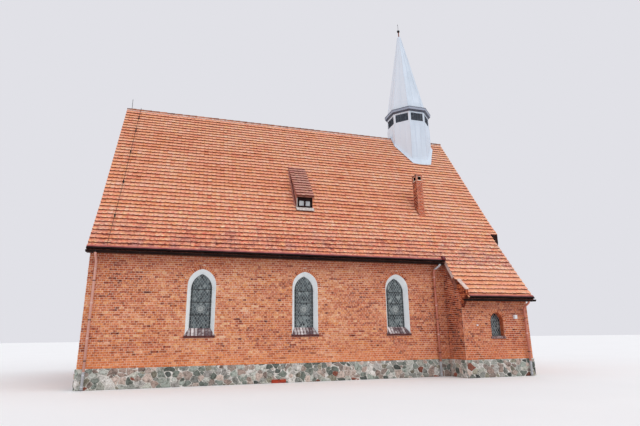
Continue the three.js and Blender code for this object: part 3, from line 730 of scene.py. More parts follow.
def half_width(width, sill, apex, v, ring=0.0, steep=ARCH_RISE):
    """Half width at height v: the jamb's below the spring, and a - R + sqrt((R + ring)^2 - (v - spring)^2)
    above it. Outside the opening it is a large negative number."""
    half, spring, radius = arch_circle(width, apex, steep)
    reach = (radius + ring) ** 2 - np.maximum(v - spring, 0) ** 2
    arc = half - radius + np.sqrt(np.maximum(reach, 0))
    return np.where((v < sill) | (arc <= 0) | (reach <= 0), -99.0, arc)


def arch_outline(width, sill, apex, steps=24, jamb=2, steep=ARCH_RISE):
    """(u, v) points from the left foot, up the jamb, over the arch and down to the right foot."""
    half, spring, radius = arch_circle(width, apex, steep)
    turn = np.linspace(0, np.arcsin((apex - spring) / radius), steps)
    right = np.stack([half - radius + radius * np.cos(turn), spring + radius * np.sin(turn)], 1)
    foot = np.stack([np.full(jamb, half), np.linspace(sill, spring, jamb, endpoint=False)], 1)
    right = np.concatenate([foot, right])
    return np.concatenate([right * (-1, 1), right[-2::-1]])


# %% The walls as planes, and where their openings are
X, Y = np.array([1.0, 0, 0]), np.array([0, 1.0, 0])
FACES = {
    "front": plane((WEST, FRONT, 0), X),
    "back": plane((EAST, BACK, 0), -X),
    "west": plane((WEST, BACK, 0), -Y),
    "east": plane((EAST, ANNEX_FRONT, 0), Y),
    "annex": plane((ANNEX_WEST, ANNEX_FRONT, 0), X),
    "annex_side": plane((ANNEX_WEST, FRONT, 0), -Y),
}
TALL = dict(width=1.00, sill=1.69, apex=4.02, light=0.76, light_sill=1.91, light_apex=3.87)
SMALL = dict(width=0.60, sill=1.49, apex=2.45, light=0.60, light_sill=1.51, light_apex=2.45)
DOORWAY = dict(width=1.84, sill=0.30, apex=3.30, light=1.60, light_sill=0.30, light_apex=3.18)
REVEAL = 0.230
REBATE = 0.030


def opening(node_name, face, sizes):
    """An opening whose place along the wall, and lift above the usual height, come from its built node."""
    on = FACES[face]
    centre = (low(node_name) + high(node_name)) / 2
    lift = high(node_name)[2] - (sizes["light_apex"] + REBATE)
    rests = {k: v + (0 if k in ("width", "light") else lift) for k, v in sizes.items()}
    return Opening(node_name, on, float((centre - on.origin) @ on.along), **rests)


OPENINGS = {
    "front": [opening(f"front_window_{i}", "front", TALL) for i in (1, 2, 3)],
    "back": [opening(f"back_window_{i}", "back", TALL) for i in (1, 2, 3, 4)],
    "west": [opening("west_window", "west", TALL), opening("west_door", "west", DOORWAY)],
    "east": [opening(f"east_window_{i}", "east", TALL) for i in (1, 2)],
    "annex": [opening("annex_window", "annex", SMALL)],
    "annex_side": [],
}
for face, found in OPENINGS.items():
    print(face, [(o.node, round(o.middle, 2), round(o.sill, 2)) for o in found])

# %% [markdown]
# ## Brickwork
# The bricks are laid in cross bond: a course of stretchers, then a course of headers. A texture of
# bricks would lie flat, and the raking light on real joints would be missing, so each brick is a
# block that stands a few millimetres out of the wall, which itself shows between them as mortar.
# Bricks are cut to the arches and to the slope of the gables by holding their corners back to the
# edge at the corner's own height, which gives cut bricks a true slanting end.

# %% Courses, cut to the wall's edges and openings
STRETCHER, HEADER, COURSE, JOINT = 0.261, 0.1305, 0.0769, 0.011
NARROWEST = 0.018
PROUD = 0.007
RING = 0.128
SILL_LAP = 0.05


def courses(width, bottom, top):
    """Corners of bricks in cross bond: odd courses are headers, and every second stretcher course moves
    half a stretcher along."""
    laid = []
    for k in range(math.ceil((top - bottom) / COURSE)):
        pitch = HEADER if k % 2 else STRETCHER
        shift = HEADER / 2 if k % 2 else (STRETCHER / 2 if k % 4 else 0.0)
        left = np.arange(-shift, width, pitch)
        right = np.minimum(left + pitch, width) - JOINT / 2
        left = np.maximum(left, 0) + JOINT / 2
        keep = right - left > 0.02
        z = bottom + k * COURSE
        laid.append(rectangles(left[keep], right[keep], z, min(z + COURSE - JOINT, top)))
    return np.concatenate(laid)


def wide_enough(bricks):
    """The bricks that are wider than NARROWEST at mid height."""
    wide = bricks[:, 1:3, 0].mean(1) - bricks[:, [0, 3], 0].mean(1)
    return bricks[wide > NARROWEST]


def keep_between(bricks, left, right):
    """Moves corners in to left(v) and right(v), and drops what is left too narrow to be a brick."""
    v = bricks[..., 1]
    bricks[..., 0] = np.clip(bricks[..., 0], left(v), np.maximum(right(v), left(v)))
    return wide_enough(bricks)


def cut_round(bricks, o, ring):
    """Holds bricks on either side of an opening back to its edge, or to the ring of bricks over it."""
    spring = arch_circle(o.width, o.apex)[1]
    v = bricks[..., 1]
    over = (bricks[..., 1].max(1) > spring + 0.02)[:, None]
    edge = half_width(o.width, o.sill - SILL_LAP, o.apex, v, 0.0)
    outer = half_width(o.width, o.sill - SILL_LAP, o.apex, np.maximum(v, spring), ring)
    edge = np.where(over, outer, edge) + JOINT / 2
    side = (bricks[..., 0].mean(1) > o.middle)[:, None]
    u = bricks[..., 0]
    bricks[..., 0] = np.where(side, np.maximum(u, o.middle + edge), np.minimum(u, o.middle - edge))
    return wide_enough(bricks)


def ring_of(o, depth=RING, thick=0.074):
    """Bricks on end round the arch: equal steps of angle between radius R and R + depth, on both arcs."""
    half, spring, radius = arch_circle(o.width, o.apex)
    sweep = np.arcsin((o.apex - spring) / radius)
    count = round((radius + depth / 2) * sweep / thick)
    edges = np.linspace(0, sweep + 0.03, count + 1)
    gap = JOINT / 2 / radius
    a, b = edges[:-1] + gap, edges[1:] - gap
    corner = lambda r, t: np.stack([half - radius + r * np.cos(t), spring + r * np.sin(t)], -1)
    outer = radius + depth
    right = np.stack([corner(radius, a), corner(outer, a), corner(outer, b), corner(radius, b)], 1)
    right[..., 0] = np.maximum(right[..., 0], JOINT / 2)
    left = right[:, ::-1] * (-1, 1)
    return np.concatenate([right, left]) + (o.middle, 0)


def brick_tones(count, random, dark_share=0.012):
    """Tones about the middle, with a share of dark, hard-fired bricks."""
    tones = np.clip(random.normal(0.56, 0.13, count), 0.1, 0.86)
    burnt = random.random(count) < dark_share
    return np.clip(np.where(burnt, random.normal(0.24, 0.05, count), tones), 0, 1)


def lay(on, corners, random, proud=PROUD, dark_share=0.012, shade=0.0):
    """Bricks as blocks with a little spread in how far they stand out; shade makes them all darker."""
    out = proud + random.uniform(-0.0025, 0.0025, len(corners))
    tone = np.clip(brick_tones(len(corners), random, dark_share) - shade, 0, 1)
    return blocks(on, corners, 0.0, out, 0.003, tone, closed=False)


# For each face: the share of dark hard-fired bricks, and how much darker all bricks are. The annex's west side
# is painted darker, as painted shade on a wall turned away from the sun; its front is a little darker brick.
DARK_BRICKS_AND_SHADE = {"annex_side": (0.03, 0.2), "annex": (0.012, 0.06)}


def brickwork(face, width, top, left, right, seed):
    """All bricks of one wall face, with rings over its openings."""
    random = np.random.default_rng(seed)
    bricks = keep_between(courses(width, PLINTH_TOP, top), left, right)
    parts = []
    for o in OPENINGS[face]:
        bricks = cut_round(bricks, o, RING)
        parts.append(lay(FACES[face], ring_of(o), random, PROUD + 0.003, 0.06))
    dark_share, shade = DARK_BRICKS_AND_SHADE.get(face, (0.012, 0.0))
    return [lay(FACES[face], bricks, random, dark_share=dark_share, shade=shade), *parts]


# %% Brick faces of the walls
NAVE_HALF = (BACK - FRONT) / 2
EAVES_UNDER = under(FRONT, LOWER_FALL)
ANNEX_UNDER = under(ANNEX_FRONT, LOWER_FALL)
ANNEX_OUT = FRONT - ANNEX_FRONT
LONG = EAST - WEST


def gable_half(v):
    """Half width of the nave's gable at height v, down from the apex to the kink and the eaves."""
    return np.interp(v, [EAVES_UNDER, KINK_UNDER, APEX_UNDER], [NAVE_HALF, -KINK_Y, 0.0])


def catslide_edge(v):
    """Where the gable's edge runs over the annex, as a distance along the east face."""
    return np.interp(v, [ANNEX_UNDER, KINK_UNDER, APEX_UNDER], [0.0, KINK_Y - ANNEX_FRONT, -ANNEX_FRONT])


def level(value):
    return lambda v: np.full_like(v, value)


MIDDLE_EAST = -ANNEX_FRONT
WALLS = [
    ("front", ANNEX_WEST - WEST, EAVES_UNDER, level(0), level(LONG)),
    ("back", LONG, EAVES_UNDER, level(0), level(LONG)),
    (
        "west", 2 * NAVE_HALF, APEX_UNDER,
        lambda v: NAVE_HALF - gable_half(v), lambda v: NAVE_HALF + gable_half(v),
    ),
    ("east", 2 * NAVE_HALF + ANNEX_OUT, APEX_UNDER, catslide_edge, lambda v: MIDDLE_EAST + gable_half(v)),
    ("annex", EAST - ANNEX_WEST, ANNEX_UNDER, level(0), level(LONG)),
    (
        "annex_side", ANNEX_OUT, EAVES_UNDER,
        level(0), lambda v: np.interp(v, [ANNEX_UNDER, EAVES_UNDER], [ANNEX_OUT, 0]),
    ),
]
for number, (face, width, top, left, right) in enumerate(WALLS):
    add_piece(f"{face}_brickwork", brickwork(face, width, top, left, right, 10 + number), BRICK)
finish_node(MORTAR, "wall_front", "wall_back", "gable_west", "gable_east")
finish_node(MORTAR, "annex_wall_west", "annex_wall_front")

# %% [markdown]
# ## Sills and plaster reveals
# Under each window a row of headers lies on the slope of the sill and noses out over the wall, which
# throws the dark line seen beneath; the dark mortar bed under the headers and the dark red of their
# undersides paint that shade in as well. The splayed sides of the opening are plastered white, but for
# the annex window's, which are bare brick. That plaster is a thin band carried along the arch: at every
# point of the outline it runs from the wall's face back to the pane, and the splay moves it inwards on
# the way.

# %% Sills
SILL_COUNT, SILL_GAP = 9, 0.03
SILL_BRICK = 0.065


def sill_bricks(o, random):
    """Headers side by side on a slope from the pane's foot down to a nose in front of the wall. Each is
    a box whose side view is a slanted rectangle: two points along the slope, and the same two pushed
    down across it."""
    width = o.width + 0.08
    edges = np.linspace(-width / 2, width / 2, SILL_COUNT + 1)
    left, right = edges[:-1] + SILL_GAP / 2, edges[1:] - SILL_GAP / 2
    rise = (o.light_sill - o.sill) / REVEAL
    nose = 0.045
    top = np.array([[-REVEAL + 0.006, o.light_sill + 0.022], [nose, o.sill - nose * rise + 0.022]])
    across = np.array([-rise, -1.0]) / math.hypot(rise, 1) * SILL_BRICK
    side = np.stack([top[0], top[0] + across, top[1] + across, top[1]])
    side = side + random.uniform(-0.003, 0.003, (SILL_COUNT, 1, 1)) * (0.3, 1)
    points = np.concatenate([
        place(o.on, o.middle + left[:, None], side[..., 1], side[..., 0]),
        place(o.on, o.middle + right[:, None], side[..., 1], side[..., 0]),
    ], 1).reshape(-1, 3)
    quads = np.array([[0, 3, 7, 4], [3, 2, 6, 7], [2, 1, 5, 6], [1, 0, 4, 5], [0, 1, 2, 3], [7, 6, 5, 4]])
    tones = np.repeat(random.uniform(0.0, 0.8, SILL_COUNT), 8)
    return Part(points, [repeated(quads, SILL_COUNT, 8)], tones)


def sill_bed(o):
    """Mortar under and between the sill's headers: a block just inside them. Its dark red-brown is partly dark
    joints and partly painted shadow under the sill's nose.
    """
    rise = (o.light_sill - o.sill) / REVEAL
    back, nose = -REVEAL + 0.008, 0.036
    side = np.array([
        [back, o.light_sill + 0.012], [back, o.light_sill - 0.05],
        [0.0, o.sill - 0.052], [nose, o.sill - 0.06 - nose * rise], [nose, o.sill - nose * rise + 0.012],
    ])
    half = o.width / 2 + 0.034
    ends = [place(o.on, o.middle + u, side[:, 1], side[:, 0]) for u in (-half, half)]
    return swept(np.stack(ends), turned_over=True)


def every_opening(*skip):
    return [o for found in OPENINGS.values() for o in found if o.node not in skip]


random = np.random.default_rng(31)
windows = every_opening("west_door")
add_piece("window_sills", [sill_bricks(o, random) for o in windows], SILL_CLAY)
add_piece("sill_mortar", [sill_bed(o) for o in windows], SILL_JOINT_AND_SHADE)


# %% Plaster reveals
PLASTER_THICK = 0.006


def is_tall(o):
    return o.light_apex - o.light_sill > TALL_LIGHT


def steepness(o):
    """The plaster makes the arch of a tall window steeper at the pane than it is in the brick."""
    return LIGHT_RISE if o.node != "west_door" and is_tall(o) else ARCH_RISE


def light_outline(o, inset=0.0, **points):
    return arch_outline(
        o.light - 2 * inset, o.light_sill, o.light_apex - inset, steep=steepness(o), **points,
    )


def reveal(o):
    """A band round the opening: from the wall's face at the outer arch to the pane at the inner arch. It
    has an inner and an outer skin, the second a plaster's thickness further in, and edges between."""
    outer = arch_outline(o.width, o.sill, o.apex)
    inner = light_outline(o)
    lining = lambda outline, size: outline * ((size - 2 * PLASTER_THICK) / size, 1) - (0, PLASTER_THICK)
    steps = [
        (outer, 0.0), (inner, -REVEAL + 0.001),
        (lining(inner, o.light), -REVEAL + 0.001), (lining(outer, o.width), PROUD),
    ]
    ring = np.stack([place(o.on, o.middle + c[:, 0], c[:, 1], d) for c, d in steps], 1)
    return swept(ring)


tall = every_opening("annex_window")
add_piece("plaster_reveals", [reveal(o) for o in tall], PLASTER)
add_piece("annex_reveal", reveal(OPENINGS["annex"][0]), BRICK)

# %% [markdown]
# ## Leaded windows
# From outside the glass is dark, and what shows is the lead: thin cames that cross in diamonds over
# the middle of each light, a plain border strip down both sides, and iron saddle bars that tie the
# panels to the wall. The cames are slim blocks along straight lines. Each line is cut to the shape of
# the light by the rule for a convex outline: along the line, the last edge entered and the first edge
# left mark the stretch that lies inside. The panes between them are set a hair out of true, as real
# ones are, so that each takes the light in its own way.

# %% Lead, bars and panes
CAME, RIM_CAME = 0.006, 0.012
DIAMOND_W, DIAMOND_H = 0.105, 0.155
BORDER = 0.085
LATTICE = np.arange(-30, 31)
SADDLE_DROPS = [0.13, 0.585, 1.04]
PANE_FACE = -REVEAL - 0.0003


def cut_line(start, heading, outline):
    """Start and end along each line start + t * heading inside a convex anticlockwise outline."""
    edge = np.roll(outline, -1, 0) - outline
    normal = np.stack([-edge[:, 1], edge[:, 0]], 1)
    depth = ((start[:, None] - outline) * normal).sum(-1)
    speed = heading @ normal.T
    t = -depth / np.where(np.abs(speed) < 1e-9, 1e-9, speed)
    first = np.where(speed > 0, t, -9.0).max(1)
    last = np.where(speed < 0, t, 9.0).min(1)
    return first, last


def bars(on, start, end, width, back, front, tone=0.5):
    """Slim blocks from start to end, as wide as width across their own direction."""
    run = end - start
    run = run / np.linalg.norm(run, axis=1, keepdims=True)
    side = np.stack([run[:, 1], -run[:, 0]], 1) * width / 2
    corners = np.stack([start + side, end + side, end - side, start - side], 1)
    return blocks(on, corners, back, front, tone=tone)


def diamonds(o, outline, centre):
    """Two families of parallel lines through a grid of diamonds, cut to the outline."""
    parts = []
    for way in (1, -1):
        heading = np.array([way * DIAMOND_W, DIAMOND_H]) / math.hypot(DIAMOND_W, DIAMOND_H)
        reach = LATTICE * DIAMOND_H
        start = np.stack([np.zeros_like(reach), centre + reach], 1)
        first, last = cut_line(start, np.broadcast_to(heading, start.shape), outline)
        good = last - first > 0.02
        start = start[good]
        a, b = start + first[good, None] * heading, start + last[good, None] * heading
        parts.append(bars(o.on, a + (o.middle, 0), b + (o.middle, 0), CAME, PANE_FACE, PANE_FACE + 0.007))
    return parts


def lead_lines(o):
    """Diamonds in the middle field, two upright cames beside it, short cames across the border strips,
    and one came that follows the arch."""
    half = o.light / 2
    field = half - BORDER if is_tall(o) else half
    rim = light_outline(o, steps=10, jamb=1)[::-1]
    inside = rim.copy()
    inside[:, 0] = np.clip(inside[:, 0], -field, field)
    parts = diamonds(o, inside, (o.light_sill + o.light_apex) / 2)
    spring = arch_circle(o.light, o.light_apex, steepness(o))[1]
    if field < half:
        top = spring + 0.17
        for side in (-1, 1):
            line = np.array([[o.middle + side * field, o.light_sill]])
            parts.append(bars(o.on, line, line + (0, top - o.light_sill), CAME, PANE_FACE, PANE_FACE + 0.008))
            rungs = np.arange(o.light_sill + 0.13, spring + 0.05, 0.155)
            a = np.stack([np.full_like(rungs, o.middle + side * field), rungs], 1)
            parts.append(bars(o.on, a, a + (side * BORDER, 0), CAME, PANE_FACE, PANE_FACE + 0.007))
    rim = light_outline(o, RIM_CAME / 2, steps=14) + (o.middle, 0)
    parts.append(bars(o.on, rim[:-1], rim[1:], RIM_CAME, PANE_FACE, PANE_FACE + 0.01))
    return parts


def saddle_bars(o):
    """Iron bars across the light: three in a tall window, evenly spaced down from the spring of its arch,
    and one in a small window, at the spring."""
    spring = arch_circle(o.light, o.light_apex)[1]
    z = spring - np.array(SADDLE_DROPS if is_tall(o) else [0.0])
    half = half_width(o.light, o.light_sill, o.light_apex, z, steep=steepness(o))
    a = np.stack([o.middle - half, z], 1)
    return bars(o.on, a, a + np.stack([2 * half, 0 * half], 1), 0.016, PANE_FACE + 0.006, PANE_FACE + 0.022)


def panes(o, random):
    """One thin pane for each diamond inside the light. Its four corners lie half a diamond from its
    middle, and each stands out by a small random amount, so the pane leans."""
    half = o.light / 2
    field = half - BORDER if is_tall(o) else half
    centre = (o.light_sill + o.light_apex) / 2
    i, j = np.meshgrid(LATTICE, LATTICE, indexing="ij")
    middle = np.stack([(i - j) * DIAMOND_W / 2, (i + j) * DIAMOND_H / 2 + DIAMOND_H / 2], -1).reshape(-1, 2)
    middle[:, 1] += centre
    heights = middle[:, 1] + 0.04
    inner = half_width(o.light, o.light_sill + 0.05, o.light_apex, heights, steep=steepness(o)) - 0.03
    middle = middle[np.abs(middle[:, 0]) < np.minimum(inner, field - DIAMOND_W / 4)]
    ways = np.array([[0, -DIAMOND_H], [DIAMOND_W, 0], [0, DIAMOND_H], [-DIAMOND_W, 0]]) / 2 * 0.94
    corners = middle[:, None] + ways
    corners[..., 0] = np.clip(corners[..., 0], -field, field)
    lean = 0.0025 + random.uniform(-0.0015, 0.0015, corners.shape[:2])
    points = place(o.on, o.middle + corners[..., 0], corners[..., 1], PANE_FACE + lean).reshape(-1, 3)
    faces = np.arange(len(points)).reshape(-1, 4)
    return Part(points, [faces], np.repeat(np.clip(random.normal(0.42, 0.2, len(corners)), 0, 1), 4))


random = np.random.default_rng(47)
add_piece("window_lead", [part for o in windows for part in lead_lines(o)], LEAD)
add_piece("saddle_bars", [saddle_bars(o) for o in windows], IRON)
add_piece("window_panes", [panes(o, random) for o in windows], GLASS)
finish_node(GLASS, *[o.node for o in windows])


# %% [markdown]
# In the third panel of each tall window sits a round light. Its place is kept, but its picture is a
# plain rosette: a shallow dome whose rim and eight petals are a wave of the angle.

# %% Rosettes
ROSETTE_RINGS, ROSETTE_STEPS = 12, 64
ROSETTE_UP = 0.70


def rosette(o, radius=0.15):
    """Height over the pane: a dome times 1 + 0.3 cos(8 angle), on a grid of radius and angle."""
    around = np.linspace(0, 2 * np.pi, ROSETTE_STEPS, endpoint=False)
    r, turn = np.meshgrid(np.linspace(0.02, 1, ROSETTE_RINGS), around, indexing="ij")
    dome = np.sqrt(np.maximum(1 - r**2, 0)) * 0.012 * (1 + 0.3 * np.cos(8 * turn)) + 0.009
    u, v = radius * r * np.cos(turn), radius * r * np.sin(turn)
    points = place(o.on, o.middle + u, o.light_sill + ROSETTE_UP + v, PANE_FACE + dome)
    tone = np.where(np.abs(r - 0.8) < 0.08, 0.2, 0.9 - 0.35 * (np.cos(8 * turn) < -0.2))
    centre = np.arange(ROSETTE_STEPS)[None]
    return Part(points.reshape(-1, 3), [grid_faces(*r.shape, wrap=True), centre], tone.ravel())


MEDAL = plain_finish("rosette_glass", (92, 100, 102), (156, 162, 160), 8, 0.25, tone=0.4, depth=0.001)
rosettes = [rosette(o) for o in windows if is_tall(o)]
add_piece("window_rosettes", rosettes, MEDAL, smooth=True)

# %% [markdown]
# ## Fieldstone plinth
# The plinth is laid from split fieldstones of every colour the glaciers brought. Each face is one
# grid of points. Every point finds its nearest stone centre and the second nearest: where the two
# distances are nearly equal runs a joint, and away from it the surface rises to the stone's own flat,
# tilted face. The same two distances tell the material where mortar shows.

# %% Stones
STONE_COLOURS = np.array([
    (206, 210, 204), (178, 188, 180), (138, 148, 140), (222, 204, 194), (200, 178, 168),
    (190, 186, 168), (244, 242, 238), (104, 112, 108), (178, 110, 92), (216, 218, 208),
]) / 255.0
STONE_SHARE = np.array([0.17, 0.16, 0.12, 0.13, 0.1, 0.09, 0.1, 0.06, 0.02, 0.05])
STONE_W, STONE_H = 0.23, 0.165
FINE_GRID, COARSE_GRID = 0.02, 0.024
FOOT_BRICKS_X = -1.99


def fieldstones(on, u0, u1, v0, v1, step, seed):
    """A grid from (u0, v0) to (u1, v1). Distances are divided by each stone's size, so a small stone is a
    round one among its neighbours. Height is a smooth step of the distance to the joint, times the
    stone's own depth plus its tilt times the distance from its centre."""
    random = np.random.default_rng(seed)
    across, up = max(2, round((u1 - u0) / STONE_W)), max(2, round((v1 - v0) / STONE_H))
    i, j = np.meshgrid(np.arange(-1, across + 1), np.arange(-1, up + 1), indexing="ij")
    seeds = np.stack([
        u0 + (i + 0.5 + 0.5 * (j % 2)) * (u1 - u0) / across, v0 + (j + 0.5) * (v1 - v0) / up,
    ], -1).reshape(-1, 2) + random.uniform(-1, 1, (i.size, 2)) * (0.55 * STONE_W, 0.48 * STONE_H)
    columns, rows = max(3, round((u1 - u0) / step)), max(3, round((v1 - v0) / step))
    u, v = np.meshgrid(np.linspace(u0, u1, columns), np.linspace(v0, v1, rows), indexing="ij")
    at = np.stack([u, v], -1).reshape(-1, 1, 2)
    stone_size = random.choice([0.7, 1.0, 1.3], len(seeds), p=[0.35, 0.4, 0.25])
    reach = np.linalg.norm((at - seeds) * (1, 1.2), axis=-1) / stone_size
    order = np.argpartition(reach, 2, axis=1)[:, :2]
    pair = np.take_along_axis(reach, order, 1)
    nearest = np.where(pair[:, 0] < pair[:, 1], order[:, 0], order[:, 1])
    edge = np.abs(pair[:, 1] - pair[:, 0]) / 0.07
    rise = np.clip(edge, 0, 1)
    rise = rise * rise * (3 - 2 * rise)
    depth = random.uniform(0.015, 0.035, len(seeds))[nearest]
    tilt = random.uniform(-0.06, 0.06, seeds.shape)[nearest]
    lean = (tilt * (at[:, 0] - seeds[nearest])).sum(1)
    out = np.clip(rise * (depth + lean), 0.001, 0.045).reshape(u.shape)
    out[[0, -1]] = 0
    out[:, [0, -1]] = 0
    colour = STONE_COLOURS[random.choice(len(STONE_COLOURS), len(seeds), p=STONE_SHARE)][nearest] ** 2.2
    colour = colour * random.uniform(0.6, 1.45, len(seeds))[nearest][:, None]
    points = place(on, u, v, out).reshape(-1, 3)
    return Part(points, [grid_faces(columns, rows)[:, ::-1]], np.clip(edge, 0, 1)), colour


def add_plinth(name, strips, step):
    """One plinth piece from its strips, with stone colours and joints as attributes."""
    made = [fieldstones(*strip[:5], step, 71 + 7 * n + len(name)) for n, strip in enumerate(strips)]
    piece = add_piece(name, [part for part, _ in made], FIELDSTONE)
    colour = np.concatenate([c for _, c in made])
    colour = np.concatenate([colour, np.ones((len(colour), 1))], 1)
    stone = piece.data.attributes.new("stone", "FLOAT_COLOR", "POINT")
    stone.data.foreach_set("color", colour.astype(np.float32).ravel())
    joint = piece.data.attributes.new("joint", "FLOAT", "POINT")
    joint.data.foreach_set("value", gather([part for part, _ in made]).tone.astype(np.float32))


def moved_out(on, distance):
    return on._replace(origin=on.origin + on.out * distance)


DOOR = OPENINGS["west"][1]
STONE_FACES = {face: moved_out(on, PLINTH_OUT) for face, on in FACES.items()}
out = PLINTH_OUT
door_left, door_right = DOOR.middle - DOOR.width / 2, DOOR.middle + DOOR.width / 2
front_end = ANNEX_WEST - WEST - out
add_plinth("front_fieldstones", [(STONE_FACES["front"], -out, front_end, 0, PLINTH_TOP)], FINE_GRID)
foot_bricks = rectangles([0.0, 0.27], [0.26, 0.53], 0.0, 0.12) + (FOOT_BRICKS_X - WEST, 0.0)
foot_bricks = blocks(STONE_FACES["front"], foot_bricks, 0.0, 0.036, 0.004, closed=False)
add_piece("plinth_bricks", foot_bricks, RED_BRICK)
add_plinth("annex_fieldstones", [
    (STONE_FACES["annex"], -out, EAST - ANNEX_WEST + out, 0, PLINTH_TOP),
    (STONE_FACES["annex_side"], out, ANNEX_OUT + out, 0, PLINTH_TOP),
], FINE_GRID)
add_plinth("back_fieldstones", [(STONE_FACES["back"], -out, LONG + out, 0, PLINTH_TOP)], COARSE_GRID)
add_plinth("west_fieldstones", [
    (STONE_FACES["west"], -out, door_left, 0, PLINTH_TOP),
    (STONE_FACES["west"], door_right, 2 * NAVE_HALF + out, 0, PLINTH_TOP),
    (STONE_FACES["west"], door_left, door_right, 0, DOORWAY["sill"]),
], COARSE_GRID)
east_end = 2 * NAVE_HALF + ANNEX_OUT + out
add_plinth("east_fieldstones", [(STONE_FACES["east"], -out, east_end, 0, PLINTH_TOP)], COARSE_GRID)
finish_node(MORTAR, "plinth_front", "plinth_back", "plinth_west", "plinth_east", "plinth_annex")
finish_node(CONCRETE, "nave_floor", "annex_floor", "west_steps")

# %% [markdown]
# ## Roof tiles
# The roof is laid in crown bond: on every batten lie two plain tiles, one over the joint of two
# others, and both show their rounded tails. That double step is what throws the strong dark line
# under each row. A bump could not hold that shadow in raking light, so each tile is a real one: a
# face that falls from its raised tail to its head, whose tail follows a parabola, and edges as thick
# as the clay. Under it lies a row moved by half a tile, of which only the tails are made.

# %% Tiles on a slope
GAUGE, TILE_W, TILE_THICK = 0.2233, 0.178, 0.024
TAIL_UP, HEAD_UP, TAIL_ROUND = 0.060, 0.018, 0.034
HEAD_DIRT_AND_SHADE = 0.31
HIDDEN_DEEP = 0.075
TAIL_STEPS = 5


def tile_shape(tails, top, high_at_tail, high_at_head, thick, length):
    """Points and faces of tiles. tails is (n, 3): middle u, v of the lowest point of the tail, and width.
    The tail's edge is v + TAIL_ROUND * t^2 for t from -1 to 1 across the tile."""
    count = len(tails)
    t = np.linspace(-1, 1, TAIL_STEPS)
    u = tails[:, :1] + t * tails[:, 2:3] / 2
    v = tails[:, 1:2] + TAIL_ROUND * t**2
    head_v = np.minimum(tails[:, 1] + length, top)[:, None]
    drop = (high_at_tail - high_at_head) / GAUGE
    face_u = np.concatenate([u, u[:, -1:], u[:, :1]], 1)
    face_v = np.concatenate([v, head_v, head_v], 1)
    face_d = high_at_tail[:, None] - (face_v - tails[:, 1:2]) * drop[:, None]
    edge_d = face_d - thick
    n = TAIL_STEPS + 2
    i = np.arange(TAIL_STEPS - 1)
    tail = np.stack([i, n + i, n + i + 1, i + 1], 1)[:, ::-1]
    last = TAIL_STEPS - 1
    sides = np.array([[last, n + last, n + last + 1, last + 1], [n - 1, 2 * n - 1, n, 0]])[:, ::-1]
    quads = repeated(np.concatenate([tail, sides]), count, 2 * n)
    tops = repeated(np.arange(n)[None], count, 2 * n)
    shape = [np.concatenate([a, b], 1) for a, b in ((face_u, face_u), (face_v, face_v), (face_d, edge_d))]
    return shape, [quads, tops]


def tiles(on, left, right, length, rows, free, random):
    """Tiles in two layers on the given rows, which are heights up the slope. free(points) says which
    stand clear of what comes through the roof. Each tile has its own tone and sits a few millimetres out
    of line. The lower layer, of which only the tails show, has a darker tone, as painted shade under the
    upper tails, and every tile darkens towards its head, where dirt stays and the shade of the tail
    above is painted in."""
    columns = round((right - left) / TILE_W)
    pitch = (right - left) / columns
    parts = []
    wave = random.normal(0, 0.004, (len(rows), 4))
    row_tone = random.normal(0, 0.05, len(rows))
    for shifted in (True, False):
        middle = left + pitch * (np.arange(columns + shifted) + (0 if shifted else 0.5))
        v, u = np.meshgrid(rows, middle, indexing="ij")
        row = np.broadcast_to(np.arange(len(rows))[:, None], u.shape)
        phase = u / (right - left) * 2 * np.pi
        sag = (wave[row, 0] * np.sin(phase + row) + wave[row, 1] * np.sin(3 * phase + 2 * row)).ravel()
        width = pitch - 0.004
        u = u.ravel() + random.normal(0, 0.0015, u.size)
        v = v.ravel() + random.normal(0, 0.004, v.size)
        lowest = np.maximum(u - width / 2, left)
        highest = np.minimum(u + width / 2, right)
        u, width = (lowest + highest) / 2, highest - lowest
        keep = free(place(on, u, v + 0.1, 0.0)) & (width > 0.02) & (v < length - 0.03)
        tails = np.stack([u, v + sag, width], 1)[keep]
        lift = np.clip(random.normal(0, 0.0022, keep.sum()), -0.005, 0.006)
        if shifted:
            tail_up, head_up, deep = TAIL_UP - TILE_THICK - 0.001, 0.004, HIDDEN_DEEP
        else:
            tail_up, head_up, deep = TAIL_UP, HEAD_UP, GAUGE + 0.02
        shape, faces = tile_shape(tails, length, lift + tail_up, lift + head_up, TILE_THICK, deep)
        # Painted shade: the lower layer is darker, and each tile darkens towards its head under the tail above,
        # partly dirt.
        tone = random.normal(0.36 if shifted else 0.63, 0.055, len(tails)) + row_tone[row.ravel()[keep]]
        fade = np.tile(np.repeat([0.0, HEAD_DIRT_AND_SHADE], [TAIL_STEPS, 2]), 2)
        tone = np.clip(tone[:, None] - fade, 0, 1)
        parts.append(Part(place(on, *shape).reshape(-1, 3), faces, tone.ravel()))
    return parts


def slope(x, y0, z0, y1, z1, side):
    """The plane of a roof slope from its foot (y0, z0) to its head (y1, z1), on the front or, with side
    -1, on the back, and its length."""
    length = math.hypot(y1 - y0, z1 - z0)
    rise = np.array([0, side * (y1 - y0), z1 - z0]) / length
    return plane((x, side * y0, z0), side * X, rise), length


# %% What comes through the roof
CHIMNEY = both_ends("chimney_shaft")
DORMER_LAP = 0.17
DORMER = low("dormer_roof"), high("dormer_roof") - (0, DORMER_LAP, 0)
KNEELER = low("annex_kneeler") - (0.1, 0.2, 0), high("annex_kneeler")
TURRET_REACH = (high("turret_body")[0] - low("turret_body")[0]) / 2


